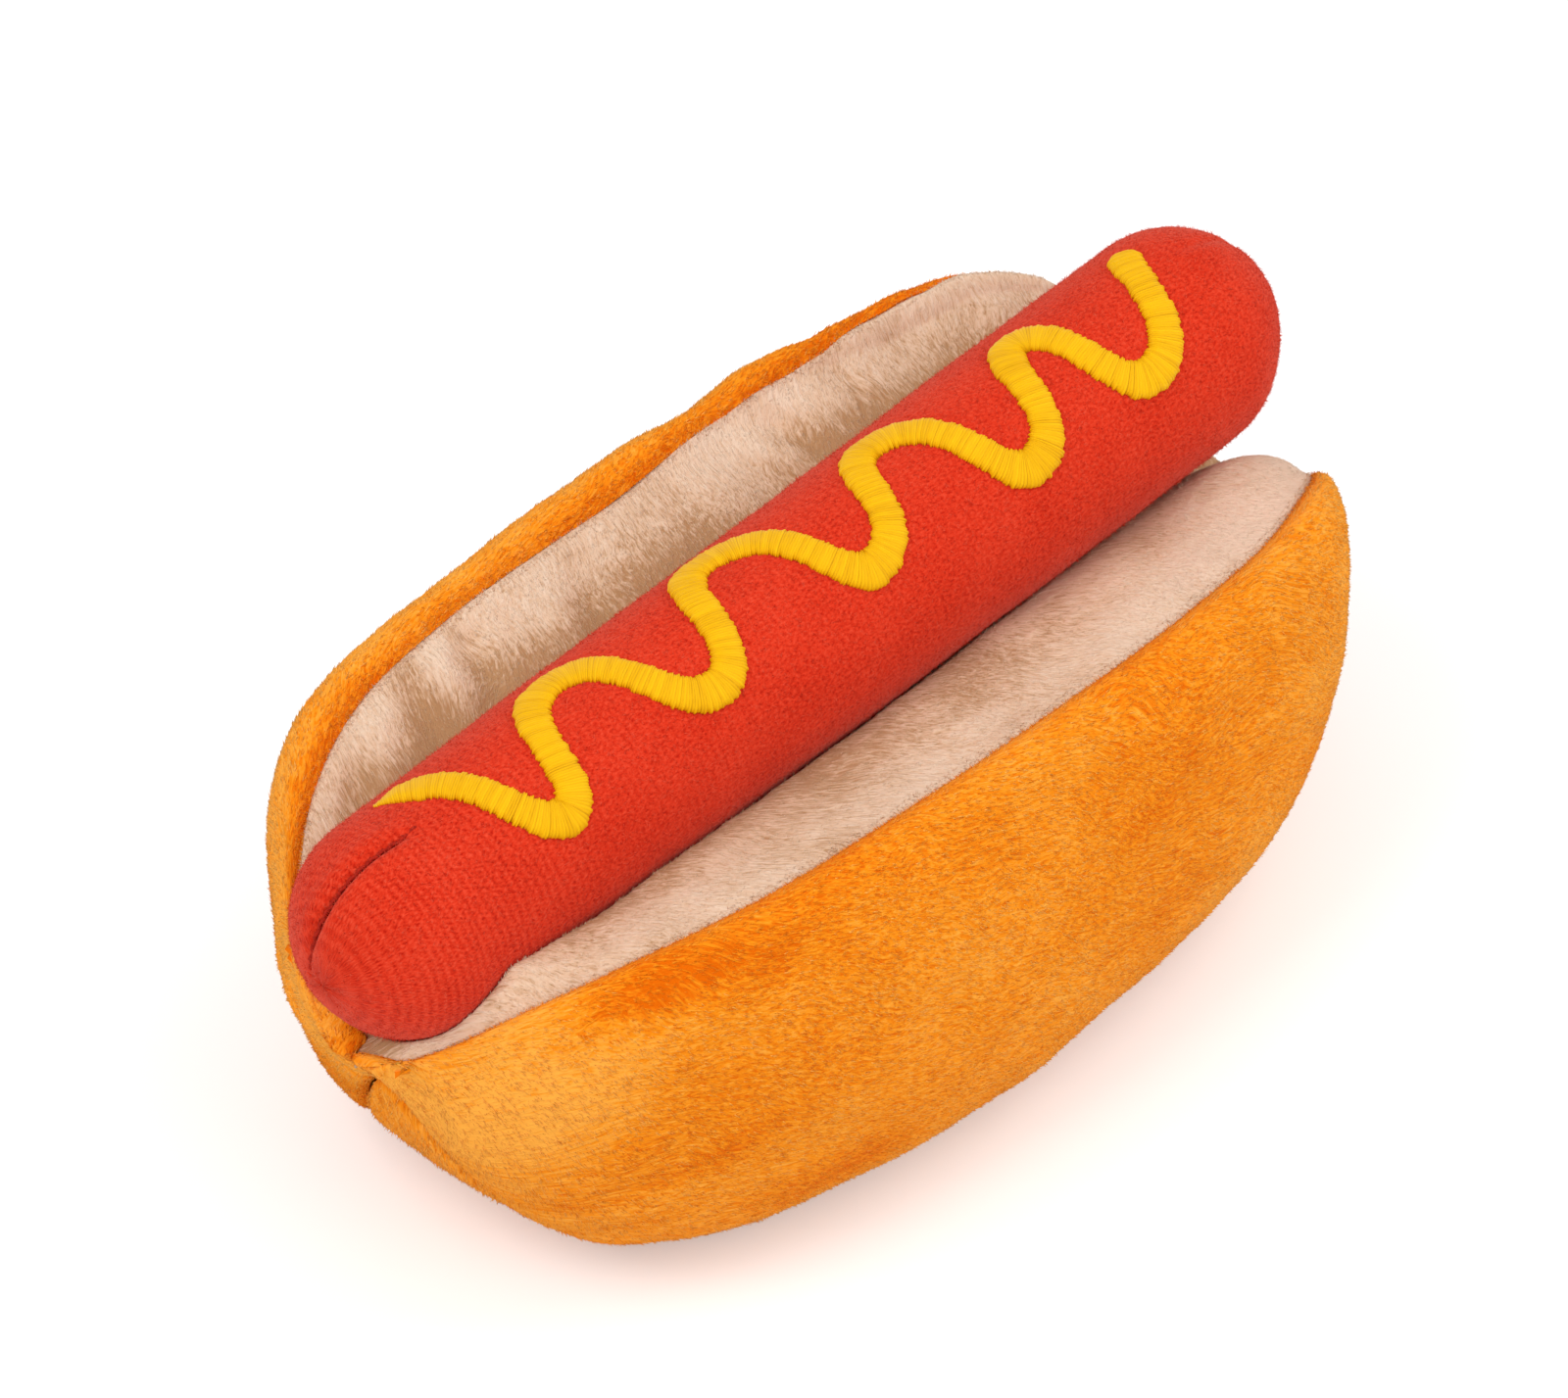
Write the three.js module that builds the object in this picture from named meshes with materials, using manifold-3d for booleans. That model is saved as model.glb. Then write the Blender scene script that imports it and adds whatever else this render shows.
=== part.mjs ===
// A plush hot dog dog toy: a stuffed knit sausage sewn into a stuffed pile-fabric bun.
// Millimetres, +Z up. The origin is on the floor under the middle of the bun. +X runs along the
// bun to the right end, -Y is the front half and +Y the back half.

import * as THREE from 'three';
import { mergeVertices } from 'three/addons/utils/BufferGeometryUtils.js';
import Module from 'manifold-3d';

const wasm = await Module();
wasm.setup();

// Fabric, thread and clearance
const crustThickness = 2.4;
const crumbThickness = 2.2;
const skinThickness = 1.8;
const backingThickness = 0.6;
const threadDiameter = 1.2;
const fineThreadDiameter = 0.8;
const gap = 0.3;
const pressGap = 0.5; // between the sausage and the cloth that it presses into
const cutOverrun = 20;

// Bun outline: each half is a side panel (crust) and an inner face (crumb), sewn at the lip
const bunLength = 214;
const lipHalfSpan = 42.6;
const lipHeight = 77;
const tuckHeight = 50; // where the lips meet at the left end
const rightTuckDrop = 10; // they meet lower at the right end
const lipFullness = 3.7;
const lipRoundness = 0.63;
const leftDropPower = 7;
const rightDropPower = 10;

// Base panel, a lens between the two side panels
const endOverhang = 8; // of the lips past the base seam's tips
const baseSeamHalfWidth = 35;
const baseSeamHeight = 2.6;
const baseTipDrop = 10; // under the place where the lips meet
const baseTipHalfWidth = 0.5;
const endStitchLiftShare = 0.15; // of the end seam, left free over the base tip
const baseSag = 3.1; // its belly under the seam, cut flat by 0.5
const basePlanFullness = 1.6;
const basePlanRoundness = 0.5;
const baseSideFullness = 7.4;
const baseSideRoundness = 0.82;

// Side panel ribs: a cubic curve from lip to base seam, with these handles at mid length
const rimReach = 15.6;
const rimRise = 20;
const flankReach = 38;
const flankDrop = 1.4;
const ribFullness = 5.5;
const ribRoundness = 0.48;
const endTurnPower = 60;

// Inner face and the valley that the sausage lies in
const valleyHeight = 58;
const crumbCrown = 3;
const stripHalfWidth = 9;
const crumbNodeShares = [0, 0.19, 0.35, 0.47, 0.56, 0.88, 1.3]; // of the sausage's radius, from the strip
const stuffingGap = 0.5;
const wallNodeStep = 1.5;

// Sausage
const sausageDiameter = 38;
const sausageLength = 216;
const sausageHeight = 77; // its axis over the floor, at its own middle
const sausageShift = -4;
const sausagePitchDegrees = 4;
const skinHoleDiameter = 1.8; // gathered end holes, under the dart seams
const leftDartRun = 3.5; // stretch of the left dart seam before the round end
const rightDartDelay = 1.5; // stretch of the right round end before its dart seam
const dartWrapDegrees = 100;
const tackInset = 5.5; // start of the tacking, from the left round end to the middle

// Mustard line, in sausage coordinates: along the axis, and round it from the top toward the front
const mustardWidth = 6.2;
const mustardHeight = 1.4;
const mustardEdgeHeight = 0.8;
const firstTurnInset = 2.8; // from the start of the left round end
const lastTurnOverrun = 1.4; // past the start of the right round end
const turnShares = [0, 0.122, 0.212, 0.3235, 0.414, 0.529, 0.624, 0.727, 0.812, 0.889, 1];
const turnMidArc = 3;
const turnSwingArc = 12;
const turnArcShares = [-1.02, 0.92, -0.83, 0.78, -0.97, 0.76, -0.81, 0.97, -0.69, 0.96, -1.07];
const limbBends = [0.1, -0.15, 0.01, -0.01, 0.14, 0.07, 0.12, 0.1, -0.03, 0.03]; // shares of each limb's run
const turnExtraLength = 1.1; // by which each turn is widened along the sausage
const lineStart = 0.12; // counted in turns
const lineEnd = 9.75;
const taperShare = 0.35; // of a turn, at the pointed left end
const tipWidthShare = 0.3;
const roundShare = 0.13; // of a turn, at the round right end
const backingReachArc = 16.3; // each way from the line's middle
const backingInset = 4; // from the starts of the round ends

// Stuffing core and the squeaker in its pocket
const pocketWall = 1.5; // least filling beside the squeaker
const coreLeastHalfWidth = 10;
const squeakerDiameter = 36;
const squeakerFloor = 14; // underside of the bulb over the floor
const squeakerBaseHeight = 3;
const squeakerWallHeight = 15;
const squeakerTopHeight = 4;
const squeakerWall = 1.6;
const reedHolderDiameter = 8;
const reedHolderHeight = 9;
const reedHolderFlange = 12;
const reedHolderFlangeHeight = 1.2;
const reedSlotWidth = 4.6;
const reedSlotDepth = 1.6;
const reedWidth = 4;
const reedThickness = 0.4;
const reedLength = 7;

// Facet counts
const stationSteps = 28;
const ribSteps = 9;
const baseSteps = 8;
const stripSteps = 4;
const shoulderSteps = 3;
const backingSteps = 8;
const crumbStationCount = 11; // stations from the middle to each end of a shorter piece
const stuffingStationCount = 10;
const baseStitchStationCount = 12;
const threadSides = 5;
const sausageSides = 24;
const endSteps = 6;
const mustardSteps = 96;
const squeakerSides = 24;
const slopeStepShare = 0.01; // of a surface's or line's parameter, for its slopes

const halfStations = stationSteps / 2;
const threadRoom = threadDiameter + 2 * gap;
const seamHalfGap = threadRoom / 2;
const baseSeamLength = bunLength - 2 * endOverhang;
const tackRoom = fineThreadDiameter + gap;
const sausageRadius = sausageDiameter / 2;
const sausageCoreHalf = sausageLength / 2 - sausageRadius;
const turnRun = 2 * sausageCoreHalf - firstTurnInset + lastTurnOverrun;
const sausagePitch = THREE.MathUtils.degToRad(sausagePitchDegrees);
const sausageAxis = new THREE.Vector3(Math.cos(sausagePitch), 0, Math.sin(sausagePitch));
const sausageCentre = new THREE.Vector3(sausageShift, 0, sausageHeight);

// Stations run from end to end, closer together toward the ends: a = sin(s * 90 degrees).
const stationPlace = (s) => Math.sin((s * Math.PI) / 2);
const stationList = (last) => range(2 * last, -last / halfStations, last / halfStations);

function range(steps, start, end) {
  return Array.from({ length: steps + 1 }, (_, i) => start + ((end - start) * i) / steps);
}

// Full width in the middle, closing to nothing at both ends: (1 - |a|^fullness)^roundness.
function swell(a, fullness, roundness) {
  return Math.pow(Math.max(0, 1 - Math.pow(Math.abs(a), fullness)), roundness);
}

// Where the lips meet at the end toward a, and the share of its whole drop that a line has there.
const tuckAt = (a) => (a > 0 ? tuckHeight - rightTuckDrop : tuckHeight);
const dropShare = (a) => Math.pow(Math.abs(a), a > 0 ? rightDropPower : leftDropPower);

function lipPoint(a) {
  const y = seamHalfGap + lipHalfSpan * swell(a, lipFullness, lipRoundness);
  const z = lipHeight - (lipHeight - tuckAt(a)) * dropShare(a);
  return new THREE.Vector3((bunLength / 2) * a, y, z);
}

function baseSeamPoint(a) {
  const y = seamHalfGap + baseSeamHalfWidth * swell(a, basePlanFullness, basePlanRoundness);
  const tip = tuckAt(a) - baseTipDrop;
  const z = tip - (tip - baseSeamHeight) * swell(a, baseSideFullness, baseSideRoundness);
  return new THREE.Vector3((baseSeamLength / 2) * a, y, z);
}

// Side panel surface of the back half: t runs from the lip seam (0) down to the base seam (1).
function crustSurface(s, t) {
  const a = stationPlace(s);
  const g = swell(a, ribFullness, ribRoundness);
  const lip = lipPoint(a);
  const seam = baseSeamPoint(a);
  const rim = lip.clone().add(new THREE.Vector3(0, rimReach * g, rimRise * g));
  const flank = seam.clone().add(new THREE.Vector3(0, flankReach * g, -flankDrop * g));
  return new THREE.CubicBezierCurve3(lip, rim, flank, seam).getPoint(t);
}

// Base panel surface: v runs from the front seam (-1) to the back seam (1).
function baseSurface(s, v) {
  const a = stationPlace(s);
  const seam = baseSeamPoint(a);
  const belly = baseSag * swell(a, baseSideFullness, baseSideRoundness);
  return new THREE.Vector3(seam.x, v * baseHalfWidth(a), seam.z - belly * (1 - v * v));
}

function baseHalfWidth(a) {
  return Math.max(baseTipHalfWidth, insetFrom(baseSeamPoint, a, threadRoom));
}

// Distance from the centre plane of a line that keeps the given room inside a seam.
function insetFrom(seam, a, room) {
  const along = slopeOf(seam, a, -1).normalize();
  return seam(a).y - room / Math.sqrt(1 - along.y ** 2);
}

// Step along a curve round one of its places, which run from least to 1.
function slopeOf(curve, place, least) {
  const ahead = curve(Math.min(1, place + slopeStepShare));
  return ahead.sub(curve(Math.max(least, place - slopeStepShare)));
}

const crumbEdge = (a) => insetFrom(lipPoint, a, threadRoom);

// Height of the inner face at distance y from the centre plane, pressed in where the sausage lies.
function crumbHeight(a, y) {
  const lip = lipPoint(a);
  const valley = valleyHeight - (valleyHeight - tuckAt(a)) * dropShare(a);
  const q = Math.min(1, y / lip.y);
  const crown = (crumbCrown * (lip.z - valley)) / (lipHeight - valleyHeight);
  const free = valley + (lip.z - valley) * q + crown * Math.sin(Math.PI * q);
  return underSausage(lip.x, y, free);
}

// Lowers a point until it clears the sausage, a capsule round its axis.
function underSausage(x, y, z) {
  const reach = sausageRadius + pressGap;
  let height = z;
  for (let pass = 0; pass < 3; pass++) {
    const along = new THREE.Vector3(x, y, height).sub(sausageCentre).dot(sausageAxis);
    const foot = THREE.MathUtils.clamp(along, -sausageCoreHalf, sausageCoreHalf);
    const near = sausageCentre.clone().addScaledVector(sausageAxis, foot);
    const drop = reach * reach - (x - near.x) ** 2 - y * y;
    if (drop > 0) height = Math.min(height, near.z - Math.sqrt(drop));
  }
  return height;
}

// Inside of a side panel: square to each rib, turning to lengthwise at the very ends.
function crustInside(s, t, depth) {
  const a = stationPlace(s);
  const slope = slopeOf((place) => crustSurface(s, place), t, 0);
  const outward = new THREE.Vector3(0, -slope.z, slope.y).normalize();
  outward.lerp(new THREE.Vector3(Math.sign(a), 0, 0), Math.pow(Math.abs(a), endTurnPower)).normalize();
  const point = crustSurface(s, t).addScaledVector(outward, -depth);
  point.y = Math.max(point.y, seamHalfGap);
  return point;
}

// Inside of the base panel, along its own normal.
function baseInside(s, v, depth) {
  const lengthwise = slopeOf((place) => baseSurface(place, v), s, -1);
  const across = slopeOf((place) => baseSurface(s, place), v, -1);
  return baseSurface(s, v).addScaledVector(lengthwise.cross(across).normalize(), depth);
}

// Nodes across the inner face, from the valley strip to the lip, closer together round the sausage.
function crumbNodes(a) {
  const start = stripHalfWidth + gap;
  const run = crumbEdge(a) - start;
  const close = [...crumbNodeShares.map((share) => share * sausageRadius), run];
  return range(crumbNodeShares.length, 0, run).map((y, k) => start + Math.min(y, close[k]));
}

// Turns a closed mesh's faces outward if they point in.
function facingOut(geometry) {
  const p = geometry.attributes.position;
  const index = geometry.index.array;
  const corner = [new THREE.Vector3(), new THREE.Vector3(), new THREE.Vector3()];
  let volume = 0;
  for (let i = 0; i < index.length; i += 3) {
    corner.forEach((c, k) => c.fromBufferAttribute(p, index[i + k]));
    volume += corner[0].dot(corner[1].clone().cross(corner[2]));
  }
  if (volume < 0) {
    for (let i = 0; i < index.length; i += 3) {
      [index[i], index[i + 1]] = [index[i + 1], index[i]];
    }
  }
  geometry.computeVertexNormals();
  return geometry;
}

function meshData(points, faces) {
  const geometry = new THREE.BufferGeometry();
  const numbers = points.flatMap((p) => p.toArray());
  geometry.setAttribute('position', new THREE.Float32BufferAttribute(numbers, 3));
  geometry.setIndex(faces);
  return facingOut(geometry);
}

// A cloth panel: two grids of points, one under the other, joined round their edges.
function panel(outer, inner) {
  const rows = outer.length;
  const columns = outer[0].length;
  const points = [...outer.flat(), ...inner.flat()];
  const under = rows * columns;
  const faces = [];
  const quad = (a, b, c, d) => faces.push(a, b, c, a, c, d);
  for (let i = 0; i < rows - 1; i++) {
    for (let j = 0; j < columns - 1; j++) {
      const k = i * columns + j;
      quad(k, k + 1, k + columns + 1, k + columns);
      quad(under + k, under + k + columns, under + k + columns + 1, under + k + 1);
    }
  }
  for (let i = 0; i < rows - 1; i++) {
    const first = i * columns;
    const last = first + columns - 1;
    quad(first, first + columns, under + first + columns, under + first);
    quad(last, under + last, under + last + columns, last + columns);
  }
  for (let j = 0; j < columns - 1; j++) {
    const end = (rows - 1) * columns + j;
    quad(j, under + j, under + j + 1, j + 1);
    quad(end, end + 1, under + end + 1, under + end);
  }
  return meshData(points, faces);
}

// Faces between neighbouring rings of points, all with the same count.
function sideFaces(rings) {
  const count = rings[0].length;
  const faces = [];
  for (let r = 0; r < rings.length - 1; r++) {
    for (let k = 0; k < count; k++) {
      const a = r * count + k;
      const b = r * count + ((k + 1) % count);
      faces.push(a, b, b + count, a, b + count, a + count);
    }
  }
  return faces;
}

// A solid through a row of rings, closed by flat caps that are cut up in the YZ plane.
function loft(rings) {
  const faces = sideFaces(rings);
  const last = (rings.length - 1) * rings[0].length;
  for (const [ring, start, first] of [[rings[0], 0, true], [rings[rings.length - 1], last, false]]) {
    const outline = ring.map((p) => new THREE.Vector2(p.y, p.z));
    const turn = first === THREE.ShapeUtils.area(outline) > 0;
    for (const [a, b, c] of THREE.ShapeUtils.triangulateShape(outline, [])) {
      faces.push(start + a, start + (turn ? c : b), start + (turn ? b : c));
    }
  }
  return meshData(rings.flat(), faces);
}

// A solid through small rings that turn with their path, with fans for caps.
function ringTube(rings) {
  const count = rings[0].length;
  const last = (rings.length - 1) * count;
  const faces = sideFaces(rings);
  for (let k = 1; k < count - 1; k++) {
    faces.push(0, k + 1, k, last, last + k, last + k + 1);
  }
  return meshData(rings.flat(), faces);
}

function mirrored(geometry) {
  const copy = geometry.clone().applyMatrix4(new THREE.Matrix4().makeScale(1, -1, 1));
  return facingOut(copy);
}

// A thread: a small many-sided section drawn along a smooth path.
function threadAlong(points, diameter, steps) {
  const turns = range(threadSides, 0, 2 * Math.PI).slice(1);
  const corners = turns.map((t) => new THREE.Vector2(Math.cos(t), Math.sin(t)).multiplyScalar(diameter / 2));
  const section = new THREE.Shape(corners);
  const path = new THREE.CatmullRomCurve3(points);
  return new THREE.ExtrudeGeometry(section, { steps, extrudePath: path, bevelEnabled: false });
}

function turned(profile, sides) {
  const geometry = new THREE.LatheGeometry(profile.map(([r, z]) => new THREE.Vector2(r, z)), sides);
  return geometry.rotateX(Math.PI / 2);
}

// The same mesh with shared corners and nothing but positions.
function merged(geometry) {
  const bare = geometry.clone();
  const extras = Object.keys(bare.attributes).filter((name) => name !== 'position');
  extras.forEach((name) => bare.deleteAttribute(name));
  return mergeVertices(bare);
}

// Boolean cut of one closed mesh by another.
function asSolid(geometry) {
  const mesh = merged(geometry);
  return new wasm.Manifold(new wasm.Mesh({
    numProp: 3,
    vertProperties: new Float32Array(mesh.attributes.position.array),
    triVerts: new Uint32Array(mesh.index.array),
  }));
}

function cut(geometry, tool) {
  const result = asSolid(geometry).subtract(asSolid(tool)).getMesh();
  const out = new THREE.BufferGeometry();
  const corners = new Float32Array(result.vertProperties);
  out.setAttribute('position', new THREE.BufferAttribute(corners, 3));
  out.setIndex(Array.from(result.triVerts));
  out.computeVertexNormals();
  return out;
}

// Cloth panels of the bun
function crustPanel() {
  const grid = (depth) => stationList(halfStations).map((s) => range(ribSteps, 0, 1).map((t) =>
    (depth ? crustInside(s, t, depth) : crustSurface(s, t))));
  return panel(grid(0), grid(crustThickness));
}

function basePanel() {
  const grid = (depth) => stationList(halfStations).map((s) => range(baseSteps, -1, 1).map((v) =>
    (depth ? baseInside(s, v, depth) : baseSurface(s, v))));
  const wide = bunLength + 2 * cutOverrun;
  const below = new THREE.BoxGeometry(wide, wide, cutOverrun).translate(0, 0, -cutOverrun / 2);
  return cut(panel(grid(0), grid(crustThickness)), below);
}

function crumbPanel() {
  const grid = (depth) => stationList(crumbStationCount).map((s) => {
    const a = stationPlace(s);
    return crumbNodes(a).map((y) => new THREE.Vector3(lipPoint(a).x, y, crumbHeight(a, y) - depth));
  });
  return panel(grid(0), grid(crumbThickness));
}

const stripHeight = (a, y) => crumbHeight(a, Math.abs(y)) - tackRoom;

function valleyStrip() {
  const grid = (depth) => stationList(crumbStationCount).map((s) => {
    const a = stationPlace(s);
    const half = Math.min(stripHalfWidth, crumbEdge(a) - gap);
    return range(stripSteps, -half, half).map((y) =>
      new THREE.Vector3(lipPoint(a).x, y, stripHeight(a, y) - depth));
  });
  return panel(grid(0), grid(crumbThickness));
}

// Stuffing
const coreHalfWidth = squeakerDiameter / 2 + gap + pocketWall;

function coreHalf(a) {
  return Math.max(coreLeastHalfWidth, coreHalfWidth * swell(a, basePlanFullness, basePlanRoundness));
}

// The core's shoulders are round the line on which the halves hinge, so that their inner faces,
// whose lowest edge lies beside the valley strip, open over them.
function shoulderHeight(a, y) {
  const hingeY = seamHalfGap + baseSeamHalfWidth;
  const edgeY = stripHalfWidth + gap;
  const edgeRise = crumbHeight(a, edgeY) - crumbThickness - baseSeamHeight;
  const radius = Math.hypot(hingeY - edgeY, edgeRise) - stuffingGap;
  return baseSeamHeight + Math.sqrt(radius * radius - (hingeY - y) ** 2);
}

function halfStuffing() {
  return loft(stationList(stuffingStationCount).map((s) => {
    const a = stationPlace(s);
    const x = lipPoint(a).x;
    const wall = coreHalf(a) + 2 * gap;
    const depth = crustThickness + stuffingGap;
    const side = range(ribSteps, 0, 1).slice(0, -1).map((t) => crustInside(s, t, depth));
    const corner = baseInside(s, 1, depth);
    const floor = baseInside(s, wall / baseHalfWidth(a), depth);
    const under = (y) => crumbHeight(a, y) - crumbThickness - stuffingGap;
    const top = crumbNodes(a).map((y, k, nodes) => {
      const hidden = nodes.filter((node, later) => later > k && node < wall).length;
      return y < wall
        ? new THREE.Vector3(x, wall, under(wall) - (hidden + 1) * wallNodeStep)
        : new THREE.Vector3(x, y, under(y));
    });
    return [...side, corner, new THREE.Vector3(floor.x, wall, floor.z), ...top];
  }));
}

function squeakerPocket() {
  const height = lipHeight - squeakerFloor + gap;
  const radius = squeakerDiameter / 2 + gap;
  return new THREE.CylinderGeometry(radius, radius, height, squeakerSides)
    .rotateX(Math.PI / 2)
    .translate(0, 0, squeakerFloor - gap + height / 2);
}

function coreStuffing() {
  const body = loft(stationList(stuffingStationCount).map((s) => {
    const a = stationPlace(s);
    const half = coreHalf(a);
    const x = lipPoint(a).x;
    const floor = range(stripSteps, -half, half).map((y) => {
      const point = baseInside(s, y / baseHalfWidth(a), crustThickness + stuffingGap);
      return new THREE.Vector3(point.x, y, point.z);
    });
    const shoulder = range(shoulderSteps, half, stripHalfWidth + 2 * gap).map((y) =>
      new THREE.Vector3(x, y, shoulderHeight(a, y)));
    const roof = range(stripSteps, stripHalfWidth + gap, -stripHalfWidth - gap).map((y) =>
      new THREE.Vector3(x, y, stripHeight(a, y) - crumbThickness - stuffingGap));
    const otherShoulder = shoulder.map((p) => new THREE.Vector3(p.x, -p.y, p.z)).reverse();
    return [...floor, ...shoulder, ...roof, ...otherShoulder];
  }));
  return cut(body, squeakerPocket());
}

// Squeaker: a soft bulb in three parts, its hard reed holder and the reed
const wallFloor = squeakerFloor + squeakerBaseHeight + gap;
const topFloor = wallFloor + squeakerWallHeight + gap;
const padFloor = topFloor + squeakerTopHeight + gap;

function squeakerBase() {
  const outer = squeakerDiameter / 2;
  const hole = reedHolderDiameter / 2 + gap;
  const top = squeakerFloor + squeakerBaseHeight;
  return turned([
    [hole, squeakerFloor], [outer - squeakerWall, squeakerFloor], [outer, squeakerFloor + squeakerWall],
    [outer, top], [hole, top], [hole, squeakerFloor],
  ], squeakerSides);
}

function squeakerSide() {
  const outer = squeakerDiameter / 2;
  const crease = outer - squeakerWall;
  const middle = wallFloor + squeakerWallHeight / 2;
  const top = wallFloor + squeakerWallHeight;
  return turned([
    [outer, wallFloor], [crease, middle], [outer, top], [outer - squeakerWall, top],
    [crease - squeakerWall, middle], [outer - squeakerWall, wallFloor], [outer, wallFloor],
  ], squeakerSides);
}

function squeakerTop() {
  const outer = squeakerDiameter / 2;
  const top = topFloor + squeakerTopHeight;
  const rise = squeakerTopHeight - squeakerWall;
  return turned([
    [0, topFloor + rise], [outer - squeakerWall, topFloor], [outer, topFloor],
    [outer, topFloor + squeakerWall], [outer - squeakerWall, top], [0, top],
  ], squeakerSides);
}

function squeakerPad() {
  const radius = squeakerDiameter / 2;
  const lowest = stripHeight((-2 * radius) / bunLength, 0) - crumbThickness - gap;
  return turned([[0, padFloor], [radius, padFloor], [radius, lowest], [0, lowest]], squeakerSides);
}

function reedHolder() {
  const shaft = reedHolderDiameter / 2;
  const top = squeakerFloor + squeakerBaseHeight + gap;
  const cap = top + reedHolderFlangeHeight;
  const floor = squeakerFloor;
  const body = turned([
    [0, floor], [shaft, floor], [shaft, top], [reedHolderFlange / 2, top], [reedHolderFlange / 2, cap],
    [shaft, cap], [shaft, floor + reedHolderHeight], [0, floor + reedHolderHeight],
  ], squeakerSides);
  const slot = new THREE.BoxGeometry(reedSlotWidth, reedSlotDepth, 2 * reedHolderHeight)
    .translate(0, 0, floor + reedHolderHeight / 2);
  return cut(body, slot);
}

function reed() {
  const clear = (reedSlotDepth - reedThickness) / 2 - gap;
  return new THREE.BoxGeometry(reedWidth, reedThickness, reedLength)
    .translate(0, clear, squeakerFloor + reedHolderHeight / 2);
}

// Sausage, made along X about its own middle
function capsuleProfile(radius, holeRadius) {
  const start = Math.asin(holeRadius / radius);
  const arc = range(endSteps, start, Math.PI / 2).map((t) =>
    [radius * Math.sin(t), sausageCoreHalf + radius * Math.cos(t)]);
  return [...arc, ...arc.map(([r, x]) => [r, -x]).reverse()];
}

function alongAxis(profile) {
  const geometry = new THREE.LatheGeometry(profile.map(([r, x]) => new THREE.Vector2(r, x)), sausageSides);
  return geometry.rotateZ(-Math.PI / 2);
}

function sausageSkin() {
  const outer = capsuleProfile(sausageRadius, skinHoleDiameter / 2).reverse();
  const inner = capsuleProfile(sausageRadius - skinThickness, skinHoleDiameter / 2);
  return alongAxis([...outer, ...inner, outer[0]]);
}

const backingOuter = sausageRadius - skinThickness - gap;

function sausageStuffing() {
  const radius = backingOuter - backingThickness - 2 * gap;
  const profile = capsuleProfile(radius, 0).reverse();
  profile[0][0] = 0;
  profile[profile.length - 1][0] = 0;
  return alongAxis(profile);
}

// A point on the sausage at distance x along it and arc round it, measured on the skin.
function onSausage(x, arc, radius) {
  const angle = arc / sausageRadius;
  return new THREE.Vector3(x, -radius * Math.sin(angle), radius * Math.cos(angle));
}

function embroideryBacking() {
  const ends = [backingInset - sausageCoreHalf, sausageCoreHalf - backingInset];
  const arcs = range(backingSteps, turnMidArc - backingReachArc, turnMidArc + backingReachArc);
  const inside = backingOuter * Math.cos(Math.PI / sausageSides);
  const grid = (radius) => ends.map((x) => arcs.map((arc) => onSausage(x, arc, radius)));
  return panel(grid(inside), grid(inside - backingThickness));
}

// Middle of the mustard line, n turns from its first: each limb eases from one turn's arc to the next,
// and runs along the sausage evenly but for its bend and the width of its turns.
function mustardMiddle(n) {
  const limb = THREE.MathUtils.clamp(Math.floor(n), 0, limbBends.length - 1);
  const share = n - limb;
  const run = turnRun * (turnShares[limb + 1] - turnShares[limb]);
  const start = firstTurnInset - sausageCoreHalf + turnRun * turnShares[limb];
  const bent = share + limbBends[limb] * Math.sin(Math.PI * share);
  const x = start + run * bent + turnExtraLength * Math.sin(2 * Math.PI * share);
  const ease = (1 - Math.cos(Math.PI * share)) / 2;
  const swing = THREE.MathUtils.lerp(turnArcShares[limb], turnArcShares[limb + 1], ease);
  return [x, turnMidArc + turnSwingArc * swing];
}

function mustardHalfWidth(n) {
  const ramp = Math.min(1, (n - lineStart) / taperShare);
  const left = Math.min(1, Math.max(0, (lineEnd - n) / roundShare));
  const round = Math.sqrt(Math.max(0, 1 - (1 - left) ** 2));
  const tip = tipWidthShare + (1 - tipWidthShare) * ramp;
  return (mustardWidth / 2) * tip * Math.max(tipWidthShare, round);
}

function mustardLine() {
  const rings = range(mustardSteps, lineStart, lineEnd).map((n) => {
    const [x, arc] = mustardMiddle(n);
    const [xNext, arcNext] = mustardMiddle(n + slopeStepShare);
    const length = Math.hypot(xNext - x, arcNext - arc);
    const across = [-(arcNext - arc) / length, (xNext - x) / length];
    const half = mustardHalfWidth(n);
    const at = (share, height) => onSausage(
      x + across[0] * half * share,
      arc + across[1] * half * share,
      sausageRadius + gap + height,
    );
    const under = [at(-1, 0), at(0, 0), at(1, 0)];
    return [...under, at(1, mustardEdgeHeight), at(0, mustardHeight), at(-1, mustardEdgeHeight)];
  });
  return ringTube(rings);
}

// Seam over one end of the sausage, on its top middle line: any straight run, then round the end.
function dartStitch(direction, run, delay) {
  const radius = sausageRadius + gap + fineThreadDiameter / 2;
  const straight = run ? [new THREE.Vector3(direction * (sausageCoreHalf - run), 0, radius)] : [];
  const from = Math.asin(delay / radius);
  const round = range(endSteps, from, THREE.MathUtils.degToRad(dartWrapDegrees)).map((t) =>
    new THREE.Vector3(direction * (sausageCoreHalf + radius * Math.sin(t)), 0, radius * Math.cos(t)));
  return threadAlong([...straight, ...round], fineThreadDiameter, 3 * endSteps);
}

function tackRow() {
  const height = -(sausageRadius + gap + fineThreadDiameter / 2);
  const places = range(endSteps, tackInset - sausageCoreHalf, 0);
  return threadAlong(places.map((x) => new THREE.Vector3(x, 0, height)), fineThreadDiameter, 2 * endSteps);
}

// Bun seams
function lipStitch() {
  const places = stationList(crumbStationCount).map(stationPlace);
  const points = places.map((a) => lipPoint(a).setY(insetFrom(lipPoint, a, seamHalfGap)));
  return threadAlong(points, threadDiameter, 2 * stationSteps);
}

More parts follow.
